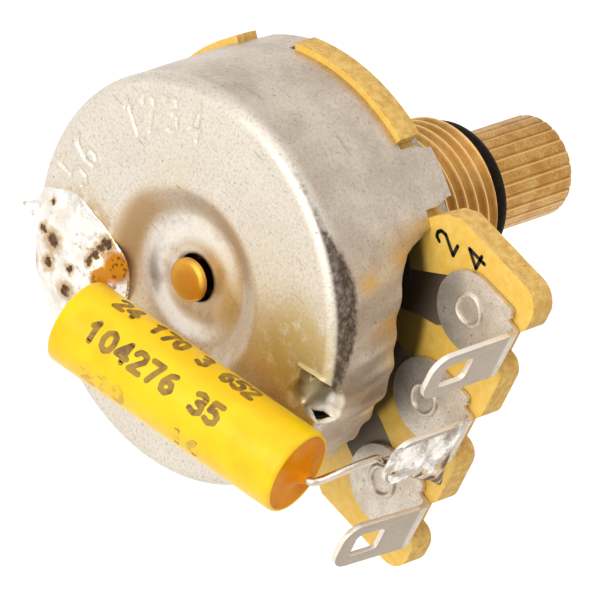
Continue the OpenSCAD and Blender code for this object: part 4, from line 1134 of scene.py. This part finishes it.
COAT = [(-2.0, 7.5), (-1.66, 5.6), (-1.62, 3.83), (-1.58, 2.4), (-1.5, 1.6), (-0.67, 1.48),
        (0.38, 1.75), (1.3, 2.3), (1.8, 2.95), (1.66, 3.6), (1.7, 4.3), (2.4, 5.73), (3.0, 7.0),
        (3.7, 8.15), (2.5, 7.85), (0.8, 7.5), (-0.8, 7.6)]
LUMPS = ((-0.3, 6.2, 1.1, 0.24), (0.4, 3.6, 1.0, 0.2), (1.5, 6.6, 0.8, 0.3),
         (-0.9, 4.4, 0.7, 0.12), (0.5, 5.1, 0.6, -0.12), (-0.2, 2.0, 0.6, 0.12))
LUG_BURNT = ((16.4, 2.54, 7.08, 0.8), (16.4, 2.19, 6.2, 0.6), (16.4, 1.52, 5.03, 0.45),
             (16.4, 1.0, 6.9, 0.8), (16.4, 3.2, 7.9, 0.7), (16.4, 0.48, 2.47, 0.25),
             (16.4, -1.3, 7.6, 0.4))


def coat_lift(v, h, t):
    """The coat's thickness, which ends under the lug's face."""
    lumpy = (0.09 * noise.noise(Vector((v * 1.1, h * 0.8, 7.7)))
             + 0.04 * noise.noise(Vector((v * 2.6, h * 2.2, 2.2))))
    return (1 - t**3) ** 0.7 * (0.16 + humps(v, h, LUMPS) + lumpy) - 0.15 * t**6


lug_solder = solder_finish("lug_solder", LUG_BURNT, (), 0.75)
coat = frozen(COAT, np.array((0.2, 4.8)), coat_lift, on_lug, 24)
blob = piece("lug_solder", [coat], lug_solder.material, nodes=("solder_lug",),
             crisp=70)
modifier(blob, "REMESH", mode="VOXEL", voxel_size=0.07 * MM, use_smooth_shade=True)
modifier(blob, "SMOOTH", factor=0.5, iterations=6)


# The shaft: turned brass, splined at its end for a knob, with the groove of the rubber ring in
# front of the bushing and a grooved pin that shows through the can's back.
SHAFT_R, TIP_H, PIN_R, PIN_H, SHOULDER_H = 3.0, 28.9, 1.28, 0.22, 1.95
CLIP_H, CLIP_T, CLIP_D = 7.45, 0.5, 0.4
GROOVE_R, GROOVE_END = 2.8, 22.425
SPLINE_D, SPLINE_FROM = 0.07, GROOVE_END + 0.25
columns = SPLINES * 16
profile = [(0.0, PIN_H), (0.5, PIN_H), (PIN_R - 0.2, PIN_H), (PIN_R - 0.16, PIN_H + 0.01),
           (PIN_R, PIN_H + 0.17), (PIN_R, PIN_H + 0.42), (PIN_R - 0.05, PIN_H + 0.48),
           (PIN_R - 0.36, PIN_H + 0.55), (PIN_R - 0.36, SHOULDER_H),
           (SHAFT_R - 0.1, SHOULDER_H), (SHAFT_R, SHOULDER_H + 0.1), (SHAFT_R, CLIP_H),
           (SHAFT_R - CLIP_D, CLIP_H), (SHAFT_R - CLIP_D, CLIP_H + CLIP_T), (SHAFT_R, CLIP_H + CLIP_T),
           (SHAFT_R, MOUTH_H), (GROOVE_R, MOUTH_H), (GROOVE_R, GROOVE_END), (SHAFT_R, GROOVE_END)]
profile += [(SHAFT_R, h) for h in np.linspace(SPLINE_FROM, TIP_H - 0.16, 12)]
profile += [(SHAFT_R - 0.05, TIP_H - 0.05), (SHAFT_R - 0.15, TIP_H), (1.2, TIP_H), (0.0, TIP_H)]
grid, faces = turned(profile, columns)
from_groove = (full_turn(columns) * SPLINES / (2 * math.pi) + 0.5) % 1 - 0.5
groove = np.clip(1 - (np.abs(from_groove) / 0.14) ** 2, 0, 1)
for k, (r, h) in enumerate(profile):
    if h > SPLINE_FROM - 0.01 and r > 2.0:
        share = min(1, (h - SPLINE_FROM) / 0.3) * min(1, (r - 2.2) / 0.5)
        grid[k, :, :2] *= (1 - SPLINE_D * groove * share / SHAFT_R)[:, None]
piece("splined_shaft", [(grid, faces)], brass.material, body="rotor",
      nodes=("shaft",), crisp=32)


# The ring: a black rubber ring in the shaft's groove, up against the mouth of the bushing.
rubber = Finish("black_rubber", "#1d150e", 0.55, specular=0.06)
grain = rubber.place.speckle(5.0, 4.0, 0.65)
rubber.feed(Base_Color=grain.rising(0.45, 0.75).mixed("#150c05", "#2f1f11"),
            Roughness=grain * 0.3 + 0.4)
rubber.bump(grain, 0.03)
RING_R, RING_MIDDLE, RING_H = 0.75, 3.555, 21.625
profile = [(RING_MIDDLE + RING_R * math.cos(t), RING_H + RING_R * math.sin(t))
           for t in np.linspace(0, 2 * math.pi, 29)]
piece("rubber_ring", [turned(profile)], rubber.material, body="rotor",
      nodes=("o_ring",))


# Floor, backdrop and lights: a plain white floor and surround under two soft lamps. They aren't
# part of the object.
def seen_directly(tree):
    """1 for what the camera sees, straight, mirrored or through glass; 0 for other light."""
    camera_ray, glossy_ray, clear_ray = (
        Value(tree).node("LightPath", out=f"Is {kind} Ray")
        for kind in ("Camera", "Glossy", "Transmission"))
    return camera_ray.most(glossy_ray).most(clear_ray)


floor_mesh = bpy.data.meshes.new("floor")
floor_mesh.from_pydata([(-4, -4, 0), (4, -4, 0), (4, 4, 0), (-4, 4, 0)], [], [(0, 1, 2, 3)])
floor = bpy.data.objects.new("floor", floor_mesh)
bpy.context.scene.collection.objects.link(floor)
floor.location.z = cad_low.z - 26 * MM
white = bpy.data.materials.new("floor_white")
white.use_nodes = True
tree = white.node_tree
ground = tree.nodes["Principled BSDF"]
ground.inputs["Base Color"].default_value = (0.8, 0.8, 0.8, 1)
ground.inputs["Roughness"].default_value = 0.9
ground.inputs["Specular IOR Level"].default_value = 0.0
ground.inputs["Emission Color"].default_value = (1, 1, 1, 1)
tree.links.new((seen_directly(tree) * 0.35).socket, ground.inputs["Emission Strength"])
floor.data.materials.append(white)

world = bpy.data.worlds.new("studio")
bpy.context.scene.world = world
world.use_nodes = True
tree = world.node_tree
sky = tree.nodes["Background"]
sky.inputs["Color"].default_value = (1, 1, 1, 1)
tree.links.new((seen_directly(tree) * 0.15 + 0.85).socket, sky.inputs["Strength"])

for name, place, size, power in (
    ("key", (0.0, -0.5, 0.26), 0.5, 1.5),
    ("top", (-0.2, -0.2, 0.8), 0.9, 1.2),
):
    lamp = bpy.data.lights.new(name, "AREA")
    lamp.shape, lamp.size, lamp.energy = "DISK", size, power
    holder = bpy.data.objects.new(name, lamp)
    bpy.context.scene.collection.objects.link(holder)
    holder.location = place
    holder.rotation_mode = "QUATERNION"
    holder.rotation_quaternion = (-Vector(place)).to_track_quat("-Z", "Y")

bpy.context.scene.view_settings.view_transform = "Standard"
